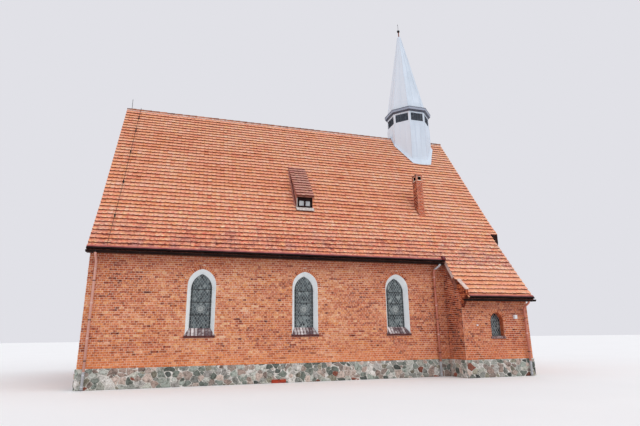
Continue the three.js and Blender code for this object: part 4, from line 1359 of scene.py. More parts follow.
def clear_of(points):
    """True where a point is outside the chimney, the dormer, the kneeler and the turret's eight sides."""
    x, y = points[:, 0], points[:, 1]
    clear = np.ones(len(points), bool)
    for lowest, highest in (CHIMNEY, DORMER, KNEELER):
        clear &= ~((x > lowest[0]) & (x < highest[0]) & (y > lowest[1]) & (y < highest[1]))
    turn = np.arange(8) * np.pi / 4
    reach = (np.outer(x - TURRET_X, np.cos(turn)) + np.outer(y, np.sin(turn))).max(1)
    return clear & (reach > TURRET_REACH - 0.05)


# %% Tiles of every slope
OVERHANG = 0.03


def rows_up(length):
    """Rows from the foot of a slope up, the first hanging over it."""
    return np.arange(-OVERHANG, length - 0.05, GAUGE)


def rows_down(length):
    """Rows counted down from the head of a slope, so that they meet the slope above and the slope
    beside in one line. A short row at the foot makes up what is left."""
    rows = np.arange(length - OVERHANG - GAUGE, 0.02, -GAUGE)[::-1]
    return np.concatenate([[-OVERHANG], rows])


def add_slope(name, left, right, foot_y, head_y, side, seed, rows_of):
    """Tiles between x left and right on one slope. On the back, along runs the other way."""
    on, length = slope(0.0, foot_y, roof_z(foot_y), head_y, roof_z(head_y), side)
    span = (left, right) if side > 0 else (-right, -left)
    random = np.random.default_rng(seed)
    add_piece(name, tiles(on, *span, length, rows_of(length), clear_of, random), TILE)


add_slope("front_upper_tiles", VERGE_WEST, VERGE_EAST, KINK_Y, 0.0, 1, 101, rows_up)
add_slope("front_lower_tiles", VERGE_WEST, ANNEX_VERGE, EAVES_Y, KINK_Y, 1, 102, rows_down)
add_slope("annex_tiles", ANNEX_VERGE, LOWER_EAST, ANNEX_EAVES_Y, KINK_Y, 1, 103, rows_down)
add_slope("front_verge_tiles", LOWER_EAST, VERGE_EAST, VERGE_FOOT_Y, KINK_Y, 1, 106, rows_down)
add_slope("back_upper_tiles", VERGE_WEST, VERGE_EAST, KINK_Y, 0.0, -1, 104, rows_up)
add_slope("back_lower_tiles", VERGE_WEST, LOWER_EAST, EAVES_Y, KINK_Y, -1, 105, rows_down)
add_slope("back_verge_tiles", LOWER_EAST, VERGE_EAST, VERGE_FOOT_Y, KINK_Y, -1, 107, rows_down)


# %% [markdown]
# The slabs under the tiles show only at the verges and under the eaves. A verge is bedded in mortar,
# and the underside of the overhang is boarded, so one finish picks between the two by which way the
# surface faces.

# %% Slab finish
def slab_finish():
    """Brick-red mortar on the verges, and brown boards where the surface faces down."""
    material, tree, shader = new_finish("slab_edges", 0.9, specular=0.25)
    mortar = ramp(tree, grain(tree, 6, 6), (0.3, 112, 62, 50), (0.7, 164, 106, 88))
    boards = ramp(tree, grain(tree, 4, 5, (0.4, 6, 6)), (0.3, 58, 38, 30), (0.7, 92, 62, 48))
    paint(tree, shader, blend(tree, spread(tree, facing(tree, "Z"), -0.4, -0.3), boards, mortar))
    bump(tree, shader, grain(tree, 45, 5), 0.004)
    return material


SLAB_EDGES = slab_finish()


def annex_verge():
    """Pale mortar under the tiles along the annex's west verge, from above its kneeler up to the eaves of
    the nave: a slim strip along the slope, which reaches 10 cm down over the slab's edge."""
    on, _ = slope(0.0, ANNEX_EAVES_Y, ANNEX_EAVES_Z, KINK_Y, KINK_Z, 1)
    ends = np.array([high("annex_kneeler")[1] + 0.05, EAVES_Y]) - ANNEX_EAVES_Y
    ends = ends * math.hypot(1, LOWER_FALL)
    strip = rectangles(ANNEX_VERGE - 0.006, ANNEX_VERGE + 0.02, *ends)
    return blocks(on, strip, -0.10, 0.03, 0.003)


add_piece("annex_verge_mortar", annex_verge(), PALE_MORTAR)
finish_node(SLAB_EDGES, "roof_front_upper", "roof_front_lower", "roof_annex")
finish_node(SLAB_EDGES, "roof_back_upper", "roof_back_lower")

# %% [markdown]
# ## Ridge tiles
# Along the ridge lie half-round tiles, each with its wide end over the narrow end of the next. One is
# a band of clay bent over the ridge: an outer and an inner arc, carried along and widening as it goes.

# %% Ridge
RIDGE_PITCH, RIDGE_LAP = 0.36, 0.05
RIDGE_TOP = RIDGE_Z + 0.052


def band_faces():
    """Faces of a band bent over an arc: two rings, each of 13 points out along it and 13 back under it,
    and a strip of quads over each end."""
    i = np.arange(12)
    cap = np.stack([i, i + 1, 24 - i, 25 - i], 1)
    return np.concatenate([grid_faces(2, 26, wrap=True)[:, ::-1], cap, cap[:, ::-1] + 26])


def ridge_tile(x0, x1, random):
    """Arcs of 200 degrees from radius r - 15 mm to r, where r grows from 94 to 112 mm along the tile."""
    turn = np.radians(np.linspace(-100, 100, 13))
    radius = np.array([0.094, 0.112])
    x = np.array([x0, x1])
    outer = np.stack([np.sin(turn), np.cos(turn)], 1)
    rings = [radius[:, None, None] * outer, (radius[:, None, None] - 0.015) * outer[::-1]]
    yz = np.concatenate(rings, 1)
    yz[..., 1] += RIDGE_TOP - 0.112 + random.uniform(-0.003, 0.003)
    yz[..., 0] += random.uniform(-0.004, 0.004)
    points = np.concatenate([np.broadcast_to(x[:, None, None], (2, 26, 1)), yz], -1).reshape(-1, 3)
    return Part(points, [band_faces()], np.full(52, np.clip(random.normal(0.5, 0.14), 0, 1)))


def ridge_run(x0, x1, random):
    """Tiles from x0 to x1, each a little longer than its pitch, so that it laps the next."""
    count = round((x1 - x0) / RIDGE_PITCH)
    edges = np.linspace(x0, x1, count + 1)
    return [ridge_tile(a, min(b + RIDGE_LAP, x1), random) for a, b in zip(edges[:-1], edges[1:])]


random = np.random.default_rng(131)
RIDGE_SPANS = (VERGE_WEST, TURRET_X - TURRET_REACH), (TURRET_X + TURRET_REACH, VERGE_EAST)
ridge_parts = [tile for span in RIDGE_SPANS for tile in ridge_run(*span, random)]
add_piece("ridge_tiles", ridge_parts, RIDGE_CLAY)


def ridge_bed(x0, x1, side):
    """A strip of mortar along the top of a slope, under the edge of the ridge tiles."""
    on, length = slope(0.0, KINK_Y, KINK_Z, 0.0, RIDGE_Z, side)
    left, right = (x0, x1) if side > 0 else (-x1, -x0)
    return blocks(on, rectangles(left, right, length - 0.19, length - 0.09), 0.0, 0.052, 0.004)


beds = [ridge_bed(*span, side) for span in RIDGE_SPANS for side in (1, -1)]
add_piece("ridge_mortar", beds, PALE_MORTAR)

# %% [markdown]
# ## Turret and spire
# The turret is clad in pale sheets. Each of its eight sides is split into strips by standing seams,
# and each strip into sheets by flat welts. The cladding is worked out as a function of the side, the
# place across it and the height: the corner radius at that height, times the eight directions, and
# straight between two corners. The spire uses the same function with a radius that shrinks to the tip.

# %% Cladding of an eight-sided body
CORNERS = np.pi / 8 + np.arange(9) * np.pi / 4
CORNICE_LOW, CORNICE_HIGH = low("turret_cornice")[2], high("turret_cornice")[2]
SPIRE_LEAN, LEAN_FROM = 0.032, 12.80


def axis_x(z):
    """The turret stands upright. Above its cornice the old spire leans west, 32 mm for each metre."""
    z = np.asarray(z)
    return np.where(z > CORNICE_HIGH, TURRET_X - SPIRE_LEAN * (z - LEAN_FROM), TURRET_X)


def on_eight_sides(side, across, radius, z):
    """Point on a side: the two corners at that radius, and across from 0 to 1 between them."""
    a, b = CORNERS[side], CORNERS[side + 1]
    x = radius * ((1 - across) * np.cos(a) + across * np.cos(b))
    y = radius * ((1 - across) * np.sin(a) + across * np.sin(b))
    return np.stack(np.broadcast_arrays(axis_x(z) + x, y, z), -1)


def cladding(radius_at, levels, strips, foot, random, stand=0.003):
    """Sheets between the levels, strips to a side. foot(x, y) is the lowest height at a place, such as
    the roof's surface; a sheet is cut to it, and left out where nothing of it remains."""
    parts = []
    for side in range(8):
        edges = np.linspace(0, 1, strips + 1)
        for k in range(strips):
            shift = (k % 2) * 0.5
            between = [a + shift * (b - a) for a, b in zip(levels[:-1], levels[1:])]
            heights = np.unique(levels[:1] + between + levels[-1:])
            cols = edges[[k, k + 1]]
            z = np.repeat(heights[:, None], 2, 1)
            at = on_eight_sides(side, cols[None], radius_at(z) + stand, z)
            z = np.maximum(z, foot(at[..., 0], at[..., 1]))
            at = on_eight_sides(side, cols[None], radius_at(z) + stand, z)
            for low_row, high_row in zip(at[:-1], at[1:]):
                if (high_row[:, 2] - low_row[:, 2]).max() > 0.02:
                    quad = np.stack([low_row[0], low_row[1], high_row[1], high_row[0]])
                    parts.append(Part(quad, [np.array([[0, 1, 2, 3]])], np.full(4, random.random())))
    return parts


def seams(radius_at, bottom, top, strips, foot, width=0.010, stand=0.015, steps=24):
    """Standing seams: at every strip's edge a thin upright rib, as a block swept up the side. Its four
    lines lie a little to both sides of the edge, on the sheet and stand out from it."""
    parts = []
    for side in range(8):
        for across in np.linspace(0, 1, strips + 1)[:-1]:
            z = np.linspace(bottom, top, steps)
            at = on_eight_sides(side, across, radius_at(z), z)
            z = np.maximum(z, foot(at[:, 0], at[:, 1]))
            radius = radius_at(z)
            outward = 0.0 if across else stand * 0.2
            lines = []
            for push, grow in ((-1, 0), (1, 0), (1, 1), (-1, 1)):
                shift = push * width / 2 / np.maximum(radius * 0.765, 0.05)
                lines.append(on_eight_sides(side, across + shift, radius + outward + grow * stand, z))
            parts.append(swept(np.stack(lines, 1), 0.45))
    return parts


# %% Turret sheets
BODY_R = TURRET_REACH / math.cos(math.pi / 8)
LANTERN_FOOT = low("turret_lantern")[2]
SPIRE_FOOT, SPIRE_TIP = low("turret_spire")[2], high("turret_spire")[2]
SPIRE_R = (high("turret_spire")[1] - low("turret_spire")[1]) / 2 / math.cos(math.pi / 8)
SPIRE_TIP_R = 0.085


def body_radius(z):
    return np.full_like(z, BODY_R)


def spire_radius(z):
    """The corner radius, straight from the foot to the blunt tip."""
    return np.interp(z, [SPIRE_FOOT, SPIRE_TIP], [SPIRE_R, SPIRE_TIP_R])


def on_roof(x, y):
    return roof_z(y) + 0.01


def no_foot(x, y):
    return np.full_like(x, 0.0)


random = np.random.default_rng(151)
BODY_FOOT = 10.4
body_levels = [BODY_FOOT, 11.2, 12.0, 12.7, LANTERN_FOOT - 0.002]
sheets = cladding(body_radius, body_levels, 3, on_roof, random)
sheets += cladding(spire_radius, list(np.linspace(SPIRE_FOOT, SPIRE_TIP - 0.02, 8)), 2, no_foot, random)
add_piece("turret_sheets", sheets, SHEET)
ribs = seams(body_radius, BODY_FOOT, LANTERN_FOOT - 0.002, 3, on_roof)
ribs += seams(spire_radius, SPIRE_FOOT, SPIRE_TIP - 0.05, 2, no_foot, steps=40, stand=0.012)
add_piece("turret_seams", ribs, SHEET)
finish_node(SHEET, "turret_body", "turret_lantern", "turret_spire")

# %% [markdown]
# The lantern's eight lights are closed with louvre blades, and over them runs a stepped cornice in
# two greys. The cornice is a profile carried round the eight corners.

# %% Louvres, cornice and finial
LIGHT_HALF = 0.375
LIGHT_LOW, LIGHT_HIGH = 13.32, 13.80
BLADES = 8


def louvre_blades(side):
    """Blades across one light, each a slanted strip from the outer face back into the opening."""
    turn = (side + 1) * np.pi / 4
    out_way = np.array([math.cos(turn), math.sin(turn), 0])
    along = np.array([-math.sin(turn), math.cos(turn), 0])
    on = plane(np.array([TURRET_X, 0, 0]) + out_way * TURRET_REACH, along)
    z = np.linspace(LIGHT_LOW + 0.02, LIGHT_HIGH - 0.05, BLADES)
    half = LIGHT_HALF - 0.004
    corners = rectangles(-half, half, z, z + 0.012)
    near = place(on, corners[..., 0], corners[..., 1] - 0.012, -0.006)
    far = place(on, corners[..., 0], corners[..., 1] + 0.040, -0.056)
    uprights = np.linspace(-half, half, 6)[1:-1]
    wires = rectangles(uprights - 0.006, uprights + 0.006, LIGHT_LOW + 0.003, LIGHT_HIGH - 0.003)
    wires = blocks(on, wires, -0.02, -0.004, tone=0.6)
    return [boxes_between(far, near, 0.5), wires]


def round_eight(profile, tone):
    """A closed profile of (corner radius, z) points, carried round the eight corners and joined up."""
    profile = np.array(profile)
    turn = CORNERS[:-1, None]
    ring = np.stack(np.broadcast_arrays(
        TURRET_X + profile[:, 0] * np.cos(turn), profile[:, 0] * np.sin(turn), profile[:, 1],
    ), -1)
    points = np.concatenate([ring, ring[:1]]).reshape(-1, 3)
    faces = grid_faces(9, len(profile), wrap=True)
    return Part(points, [faces], np.full(len(points), tone))


CORNICE_R = (high("turret_cornice")[0] - TURRET_X) / math.cos(math.pi / 8)
c0, c1 = CORNICE_LOW, CORNICE_HIGH
lower_step = [
    (0.9, c0), (1.25, c0), (1.28, c0 + 0.03), (1.28, c0 + 0.06), (1.31, c0 + 0.07), (0.9, c0 + 0.07),
]
fascia = [(0.9, c0 + 0.07), (1.31, c0 + 0.07), (1.325, c0 + 0.09), (1.325, c1 - 0.06), (0.9, c1 - 0.06)]
drip = [
    (0.9, c1 - 0.06), (CORNICE_R - 0.004, c1 - 0.06), (CORNICE_R - 0.002, c1 - 0.035), (1.16, c1), (0.9, c1),
]
cornice_parts = [round_eight(lower_step, 0.15), round_eight(fascia, 0.95), round_eight(drip, 0.0)]
add_piece("cornice_steps", cornice_parts, TRIM, replaces=("turret_cornice",))
add_piece("louvre_blades", [part for side in range(8) for part in louvre_blades(side)], LOUVRE)
finish_node(LOUVRE, "turret_louvres")


def turned(profile, steps=24, tone=0.5):
    """A profile of (radius, z) points turned round the spire's axis, closed at both ends."""
    profile = np.array(profile)
    turn = np.linspace(0, 2 * np.pi, steps, endpoint=False)
    radius, z = profile[:, :1], profile[:, 1:]
    rings = np.broadcast_arrays(axis_x(z) + radius * np.cos(turn), radius * np.sin(turn), z)
    return swept(np.stack(rings, -1), tone)


FINIAL_TOP = high("turret_finial")[2]
BALL_Z, BALL_R = 19.92, 0.085
neck = [
    (0.070, SPIRE_TIP - 0.01), (0.062, SPIRE_TIP + 0.03),
    (0.032, SPIRE_TIP + 0.07), (0.030, BALL_Z - BALL_R + 0.01),
]


def bead(z, radius, steps):
    """A ball's profile: radius times cosine and sine of the turn, from near its foot to near its head."""
    turn = np.linspace(-np.pi / 2 + 0.25, np.pi / 2 - 0.15, steps)
    return np.stack([radius * np.cos(turn), z + radius * np.sin(turn)], 1).tolist()


rod = [(0.009, BALL_Z + BALL_R + 0.02), (0.008, FINIAL_TOP - 0.12)]
rod += [*bead(FINIAL_TOP - 0.08, 0.022, 8), (0.006, FINIAL_TOP)]
finial = turned([*bead(BALL_Z, BALL_R, 14), *rod])
add_piece("finial", finial, IRON, smooth=True, replaces=("turret_finial",))
add_piece("finial_neck", turned(neck), RUST, smooth=True)

# %% [markdown]
# Where the turret meets the tiles a skirt of pale sheet is dressed down over them. It is a ribbon
# between two outlines: the turret's own foot and the same foot drawn larger, both dropped on the roof.

# %% Flashing round the turret
def flashing(inner, outer, per_side=10):
    """Points round the eight sides at the inner and outer corner radius, set on the roof's surface, with
    a turned-up edge against the turret. Down the slopes the outer edge reaches 16 cm further, by the cube
    of the sine of the turn. It lies on the tails of the tiles, 13 cm straight up from the slabs."""
    side = np.repeat(np.arange(8), per_side)
    across = np.tile(np.linspace(0, 1, per_side, endpoint=False), 8)
    turn = CORNERS[side] + across * np.pi / 4
    outer = outer + 0.16 * np.abs(np.sin(turn)) ** 3
    profile = [
        (inner, 0.27), (inner + 0.006, 0.27), (inner + 0.014, 0.16),
        (outer, 0.145), (outer, 0.11), (inner, 0.03),
    ]
    rows = []
    for radius, lift in profile:
        at = on_eight_sides(side, across, radius, 0.0)
        at[:, 2] = roof_z(at[:, 1]) + lift
        rows.append(at)
    points = np.stack(rows, 1)
    points = np.concatenate([points, points[:1]])
    faces = grid_faces(len(points), 6, wrap=True)[:, ::-1]
    return Part(points.reshape(-1, 3), [faces], np.full(points.shape[0] * 6, 0.8))


add_piece("turret_flashing", flashing(BODY_R + 0.004, BODY_R + 0.09), SHEET)

# %% [markdown]
# ## Chimney
# The chimney is laid like the walls, on four faces of its own, and its head is open on all sides under
# a small slab, so that wind draws the smoke out.

# %% Chimney bricks
def box_faces(lowest, highest):
    """Four upright planes round a box, with their widths."""
    (x0, y0, _), (x1, y1, _) = lowest, highest
    return [
        (plane((x0, y0, 0), X), x1 - x0), (plane((x1, y0, 0), Y), y1 - y0),
        (plane((x1, y1, 0), -X), x1 - x0), (plane((x0, y1, 0), -Y), y1 - y0),
    ]


FLUE_HALF = (0.095, 0.12)
HEAD_PLATE = 0.11
# How much darker each face is: front, east, back and west. The west face's darkening is painted shade.
SHADE = (0.12, 0.1, 0.12, 0.34)


def posts_beside(corners, width, half, bottom, top):
    """Where a course passes the head's opening, its bricks are cut off to the posts on both sides."""
    beside = (corners[:, 2, 1] > bottom) & (corners[:, 0, 1] < top)
    left, right = corners[beside].copy(), corners[beside].copy()
    left[..., 0] = np.minimum(left[..., 0], width / 2 - half)
    right[..., 0] = np.maximum(right[..., 0], width / 2 + half)
    cut = np.concatenate([left, right])
    return np.concatenate([corners[~beside], cut[cut[:, 1, 0] - cut[:, 0, 0] > 0.015]])


def chimney_parts(random):
    """Courses round the shaft from where the roof meets it, and round the head but for its openings. The
    west face is painted much darker, as painted shade on the side away from the sun, and the other faces
    a little darker."""
    parts = []
    for (on, width), shade in zip(box_faces(*CHIMNEY), SHADE):
        corners = courses(width, KINK_Z, CHIMNEY[1][2])
        at = place(on, corners[:, 0, 0], corners[:, 0, 1], 0.0)
        corners = corners[at[:, 2] > roof_z(at[:, 1]) - 0.15]
        parts.append(lay(on, corners, random, dark_share=0.1, shade=shade))
    head = both_ends("chimney_head")
    bottom, top = head[0][2] + HEAD_PLATE, head[1][2] - HEAD_PLATE
    for number, ((on, width), shade) in enumerate(zip(box_faces(*head), SHADE)):
        corners = courses(width, head[0][2], head[1][2])
        corners = posts_beside(corners, width, FLUE_HALF[number % 2], bottom, top)
        parts.append(lay(on, corners, random, proud=0.004, dark_share=0.1, shade=shade))
    return parts


def flue_soot_and_shade():
    """The black inside of the head, as a cross of two blocks that stand back from its openings: soot, and
    painted shade of the hollow head.
    """
    lowest, highest = both_ends("chimney_head")
    middle = (lowest + highest) / 2
    on = plane((middle[0], middle[1], 0), X, Y)
    bottom, top = lowest[2] + HEAD_PLATE + 0.002, highest[2] - HEAD_PLATE - 0.002
    half = [FLUE_HALF[0] - 0.002, FLUE_HALF[0] + 0.03], [FLUE_HALF[1] + 0.05, FLUE_HALF[1] - 0.002]
    corners = rectangles(-np.array(half[0]), half[0], -np.array(half[1]), half[1])
    return blocks(on, corners, bottom, top)


# Nearly black: soot, and painted shade inside the chimney's head.
SOOT_AND_SHADE = plain_finish("soot_and_shade", (8, 5, 5), (26, 18, 18), 9, 0.95, specular=0.05)
add_piece("flue_soot_and_shade", flue_soot_and_shade(), SOOT_AND_SHADE)
random = np.random.default_rng(171)
add_piece("chimney_brickwork", chimney_parts(random), BRICK)
finish_node(MORTAR, "chimney_shaft", "chimney_head")

# %% [markdown]
# ## Kneeler
# At the foot of the annex's verge the corner of the wall is corbelled out into a kneeler, which stops
# the tiles from sliding off. Its side is laid in the courses of the wall, held back to its outline by
# two functions of height, and a pale bed of mortar covers its top.

# %% Kneeler
COVER_THICK = 0.045


def kneeler_parts(random):
    """Bricks on the kneeler's west side and front. Its outline is asked of the built node's corners."""
    (x0, y0, z0), (x1, y1, z1) = both_ends("annex_kneeler")
    reach = lambda y: y1 - y
    corners = corners_of("annex_kneeler")
    front = corners[corners[:, 1] < y0 + 0.001, 2]
    corbel = corners[(corners[:, 1] > y0 + 0.05) & (corners[:, 1] < ANNEX_FRONT - 0.05)][0]
    right = lambda v: np.interp(
        v, [z0, corbel[2], front.min(), front.max(), z1],
        [reach(ANNEX_FRONT), reach(corbel[1]), reach(y0), reach(y0), 0.0],
    )
    wall_top = z1 - SLAB * np.hypot(1, LOWER_FALL)
    wall_foot = wall_top - reach(ANNEX_FRONT) * LOWER_FALL
    left = lambda v: np.interp(v, [wall_foot, wall_top], [reach(ANNEX_FRONT), 0.0])
    side = keep_between(courses(reach(y0), z0, z1), left, right)
    end = courses(x1 - x0, front.min(), front.max())
    top = [[reach(y0) + 0.03, front.max() - 0.03], [0.0, z1]]
    # The west side's bricks are painted darker, as painted shade like the annex's side wall; the front's are a
    # little darker.
    return [
        lay(plane((x0, y1, 0), -Y), side, random, dark_share=0.06, shade=0.24),
        lay(plane((x0, y0, 0), X), end, random, shade=0.15),
    ], top


def kneeler_cover(top):
    """A bed COVER_THICK thick along the kneeler's sloping top, a little wider than it."""
    (low_u, low_v), (high_u, high_v) = top
    x0, x1 = KNEELER[0][0] + 0.07, KNEELER[1][0] + 0.02
    on = plane((x0, KNEELER[1][1], 0), -Y)
    corners = np.array([[
        [high_u, high_v], [low_u, low_v], [low_u, low_v + COVER_THICK], [high_u, high_v + COVER_THICK],
    ]])
    return blocks(on, corners[:, ::-1], x0 - x1, 0.0, 0.003)


bricks, top = kneeler_parts(np.random.default_rng(201))
add_piece("kneeler_brickwork", bricks, BRICK)
add_piece("kneeler_cover", kneeler_cover(top), PALE_MORTAR)
finish_node(BRICK, "annex_kneeler")

# %% [markdown]
# ## Dormer
# The small dormer has a dark frame with two panes under a deep lintel, painted dark as painted shade
# under the dormer's roof, a pale board for a sill, and tiles of its own. Its cheeks, two long thin
# wedges, are rendered in the colour of the tiles.

# %% Dormer
(DORMER_WEST, DORMER_FRONT, _), (DORMER_EAST, DORMER_REAR, _) = both_ends("dormer_body")
PANE_FOOT, PANE_HEAD = low("dormer_window")[2], high("dormer_window")[2]
dormer_front = plane((0, DORMER_FRONT, 0), X)


def dormer_parts():
    """Frame members round and between the two panes, as closed blocks on the dormer's front. The deep member
    over the panes is dark as painted shade under the dormer's roof.
    """
    x0, x1, z0, z1 = DORMER_WEST, DORMER_EAST, PANE_FOOT, PANE_HEAD
    middle = (x0 + x1) / 2
    left = [x0, x1 - 0.10, middle - 0.035, x0, x0]
    right = [x0 + 0.09, x1, middle + 0.035, x1, x1]
    bottom = [z0 - 0.01, z0 - 0.01, z0, z1 - 0.01, z0 - 0.05]
    top = [z1 + 0.02, z1 + 0.02, z1, z1 + 0.22, z0 + 0.02]
    return blocks(dormer_front, rectangles(left, right, bottom, top), -0.02, 0.014, 0.002, 0.1)


def dormer_corner():
    """A pale strip that covers the frame's west corner."""
    strip = rectangles(DORMER_WEST - 0.02, DORMER_WEST + 0.005, PANE_FOOT - 0.05, PANE_HEAD + 0.1)
    return blocks(dormer_front, strip, -0.04, 0.02, 0.003)


def dormer_cheeks():
    """A wedge on each side between the main roof and the dormer's own: the two lines meet at the back."""
    y = np.linspace(DORMER_FRONT, DORMER_REAR, 12)
    top = np.interp(y, [DORMER_FRONT, DORMER_REAR], [PANE_HEAD + 0.24, roof_z(DORMER_REAR)])
    rows = np.stack([roof_z(y) - 0.02, np.maximum(top, roof_z(y) - 0.01)], 1)
    parts = []
    for x, way in ((DORMER_WEST, -1), (DORMER_EAST, 1)):
        skins = [np.stack(np.broadcast_arrays(x + way * out, y[:, None], rows), -1) for out in (0.001, 0.012)]
        ring = np.stack([skins[0][:, 0], skins[0][:, 1], skins[1][:, 1], skins[1][:, 0]], 1)
        parts.append(swept(ring, turned_over=way < 0))
    return parts


def dormer_valley():
    """A ribbon of pinkish mortar on the main roof along the dormer's west side."""
    on, _ = slope(0.0, KINK_Y, KINK_Z, 0.0, RIDGE_Z, 1)
    up_slope = lambda y: (y - KINK_Y) * math.hypot(1, UPPER_FALL)
    foot, head = up_slope(DORMER_FRONT + 0.1), up_slope(high("dormer_roof")[1] - 0.3)
    ribbon = rectangles(DORMER_WEST - 0.12, DORMER_WEST - 0.05, foot, head)
    return blocks(on, ribbon, 0.0, 0.075, 0.004)


def dormer_sill():
    """A pale board that slopes from the frame's foot down over the tiles below."""
    x0, x1 = DORMER_WEST - 0.05, DORMER_EAST + 0.05
    z = PANE_FOOT - 0.04
    side = np.array([[-0.01, z], [-0.01, z - 0.03], [0.15, z - 0.19], [0.16, z - 0.16]])
    ends = [place(dormer_front, u, side[:, 1], side[:, 0]) for u in (x0, x1)]
    return swept(np.stack(ends), turned_over=True)


add_piece("dormer_frame", dormer_parts(), DARK_TIMBER_AND_SHADE)
add_piece("dormer_corner", dormer_corner(), OLD_WHITE)
add_piece("dormer_cheeks", dormer_cheeks(), PINK_MORTAR)
add_piece("dormer_valley", dormer_valley(), PINK_MORTAR)
add_piece("dormer_sill", dormer_sill(), OLD_WHITE)
finish_node(PALE_PANE, "dormer_window")
finish_node(DARK_TIMBER_AND_SHADE, "dormer_body", "verge_bracket_front", "verge_bracket_back")


def verge_ends():
    """Boards over the cut feet of the overhanging verge, front and back, dark as painted shade at the verge's
    foot.
    """
    foot = roof_z(VERGE_FOOT_Y)
    sides = (X, LOWER_EAST + 0.002, VERGE_EAST), (-X, -VERGE_EAST, -LOWER_EAST - 0.002)
    parts = []
    for (along, left, right), y in zip(sides, (VERGE_FOOT_Y, -VERGE_FOOT_Y)):
        corners = rectangles(left, right, foot - SLAB * np.hypot(1, LOWER_FALL), foot + 0.02)
        parts.append(blocks(plane((0, y, 0), along), corners, 0.0, 0.02, 0.002))
    return parts


add_piece("verge_ends", verge_ends(), DARK_TIMBER_AND_SHADE)
finish_node(SLAB_EDGES, "dormer_roof")


def dormer_tiles(random):
    """Tiles up the dormer's roof, from its front edge to the tiles of the main slope."""
    lowest, highest = DORMER
    y0, y1 = lowest[1], highest[1]
    corners = corners_of("dormer_roof")
    z0 = corners[corners[:, 1] < y0 + 0.01, 2].max()
    rear = high("dormer_roof")
    z1 = z0 + (y1 - y0) * fall(y0, z0, rear[1], rear[2])
    on, length = slope(0.0, y0, z0, y1, z1, 1)
    anywhere = lambda points: np.ones(len(points), bool)
    return tiles(on, lowest[0], highest[0], length, rows_up(length), anywhere, random)


add_piece("dormer_tiles", dormer_tiles(np.random.default_rng(181)), OLD_TILE)

# %% [markdown]
# ## Gutters, pipes and conductor
# The gutters hang in iron straps. The downpipes are round: a path with softened bends, and a circle
# carried along it, a little wider at each coupling. They stand for the plain bars of the frame.

# %% Pipes
PIPE_R, TUBE_R = 0.05, 0.042


def towards(corner, other, reach):
    """The point at reach from corner on the way to another, but at most half the way."""
    way = other - corner
    size = np.linalg.norm(way)
    return corner + way / size * min(reach, size / 2)


def soften(path, reach=0.09, steps=7):
    """Rounds the inner corners of a path: from reach before each to reach after, a quadratic curve whose
    middle control point is the corner."""
    path = np.asarray(path, float)
    out = [path[0]]
    for before, corner, after in zip(path[:-2], path[1:-1], path[2:]):
        a, b = towards(corner, before, reach), towards(corner, after, reach)
        t = np.linspace(0, 1, steps)[:, None]
        out.extend((1 - t) ** 2 * a + 2 * t * (1 - t) * corner + t**2 * b)
    out.append(path[-1])
    return np.array(out)


def downpipe(node_name, side, tone):
    """The pipe's path from its built node's box: the outlet under the gutter, the neck, and the run down
    the wall. side is 1 on the front and -1 on the back. A higher tone is more faded."""
    lowest, highest = both_ends(node_name)
    y_out, y_wall = (lowest[1] + PIPE_R, highest[1] - PIPE_R)[::side]
    x_out, x_wall = highest[0] - PIPE_R, lowest[0] + PIPE_R
    top, foot = highest[2], lowest[2]
    path = [
        (x_out, y_out, top), (x_out, y_out, top - 0.04), (x_wall, y_wall, top - 0.22), (x_wall, y_wall, foot),
    ]
    parts = [tube(soften(path), TUBE_R, 20, tone)]
    for z in np.arange(foot + 0.42, top - 0.4, 1.15):
        parts.append(tube([(x_wall, y_wall, z), (x_wall, y_wall, z + 0.06)], TUBE_R + 0.006, 20, 1.0))
    shoe = [(x_wall, y_wall, 0.14), (x_wall, y_wall, 0.09)]
    parts.append(tube(shoe, TUBE_R + 0.005, 20))
    return parts, (x_wall, y_wall, top)


def pipe_clips(x, y, top, side):
    """Iron bands with a pin back into the wall."""
    parts = []
    for z in np.arange(0.9, top - 0.5, 1.3):
        parts.append(tube([(x, y, z), (x, y, z + 0.025)], TUBE_R + 0.007, 20))
        parts.append(tube([(x, y, z + 0.012), (x, y + side * 0.13, z + 0.012)], 0.006, 6))
    return parts


clips = []
PIPES = [
    ("downpipe_west", 1, 0.78, PIPE), ("downpipe_corner", 1, 0.6, NECKED_PIPE),
    ("downpipe_annex", 1, 0.6, PIPE), ("downpipe_back", -1, 0.6, PIPE),
]
for node_name, side, tone, paint_of in PIPES:
    parts, (x, y, top) = downpipe(node_name, side, tone)
    add_piece(node_name + "_tube", parts, paint_of, smooth=True, replaces=(node_name,))
    clips += pipe_clips(x, y, top, side)
add_piece("pipe_clips", clips, IRON)


# %% Gutter straps
def straps(node_name):
    """Half-round iron straps under a gutter every 70 cm. A strap is 6 mm thick at the bottom, and thins
    out with the sine squared of the turn towards the gutter's rim."""
    lowest, highest = both_ends(node_name)
    y, z = (lowest[1] + highest[1]) / 2, highest[2]
    radius = (highest[1] - lowest[1]) / 2
    turn = np.linspace(np.pi, 2 * np.pi, 13)
    band = np.stack([np.cos(turn), np.sin(turn)], 1)
    outer = radius + 0.006 * np.sin(turn)[:, None] ** 2
    ring = np.concatenate([band * outer, band[::-1] * (radius - 0.002)]) + (y, z)
    parts = []
    for x in np.arange(lowest[0] + 0.3, highest[0] - 0.1, 0.7):
        points = np.concatenate([np.insert(ring, 0, x, 1), np.insert(ring, 0, x + 0.025, 1)])
        parts.append(Part(points, [band_faces()[:, ::-1]], np.full(52, 0.5)))
    return parts


strap_parts = straps("gutter_front") + straps("gutter_annex") + straps("gutter_back")
add_piece("gutter_straps", strap_parts, IRON)
finish_node(GUTTER, "gutter_front", "gutter_annex", "gutter_back")

# %% [markdown]
# Over the lowest tiles lies a strip of dark sheet with a red painted bead along its upper edge. It
# leads the rain into the gutter, and from below it makes the gutter look twice as deep. It is two slim
# blocks on the plane of the slope, a little above the tails of the tiles.

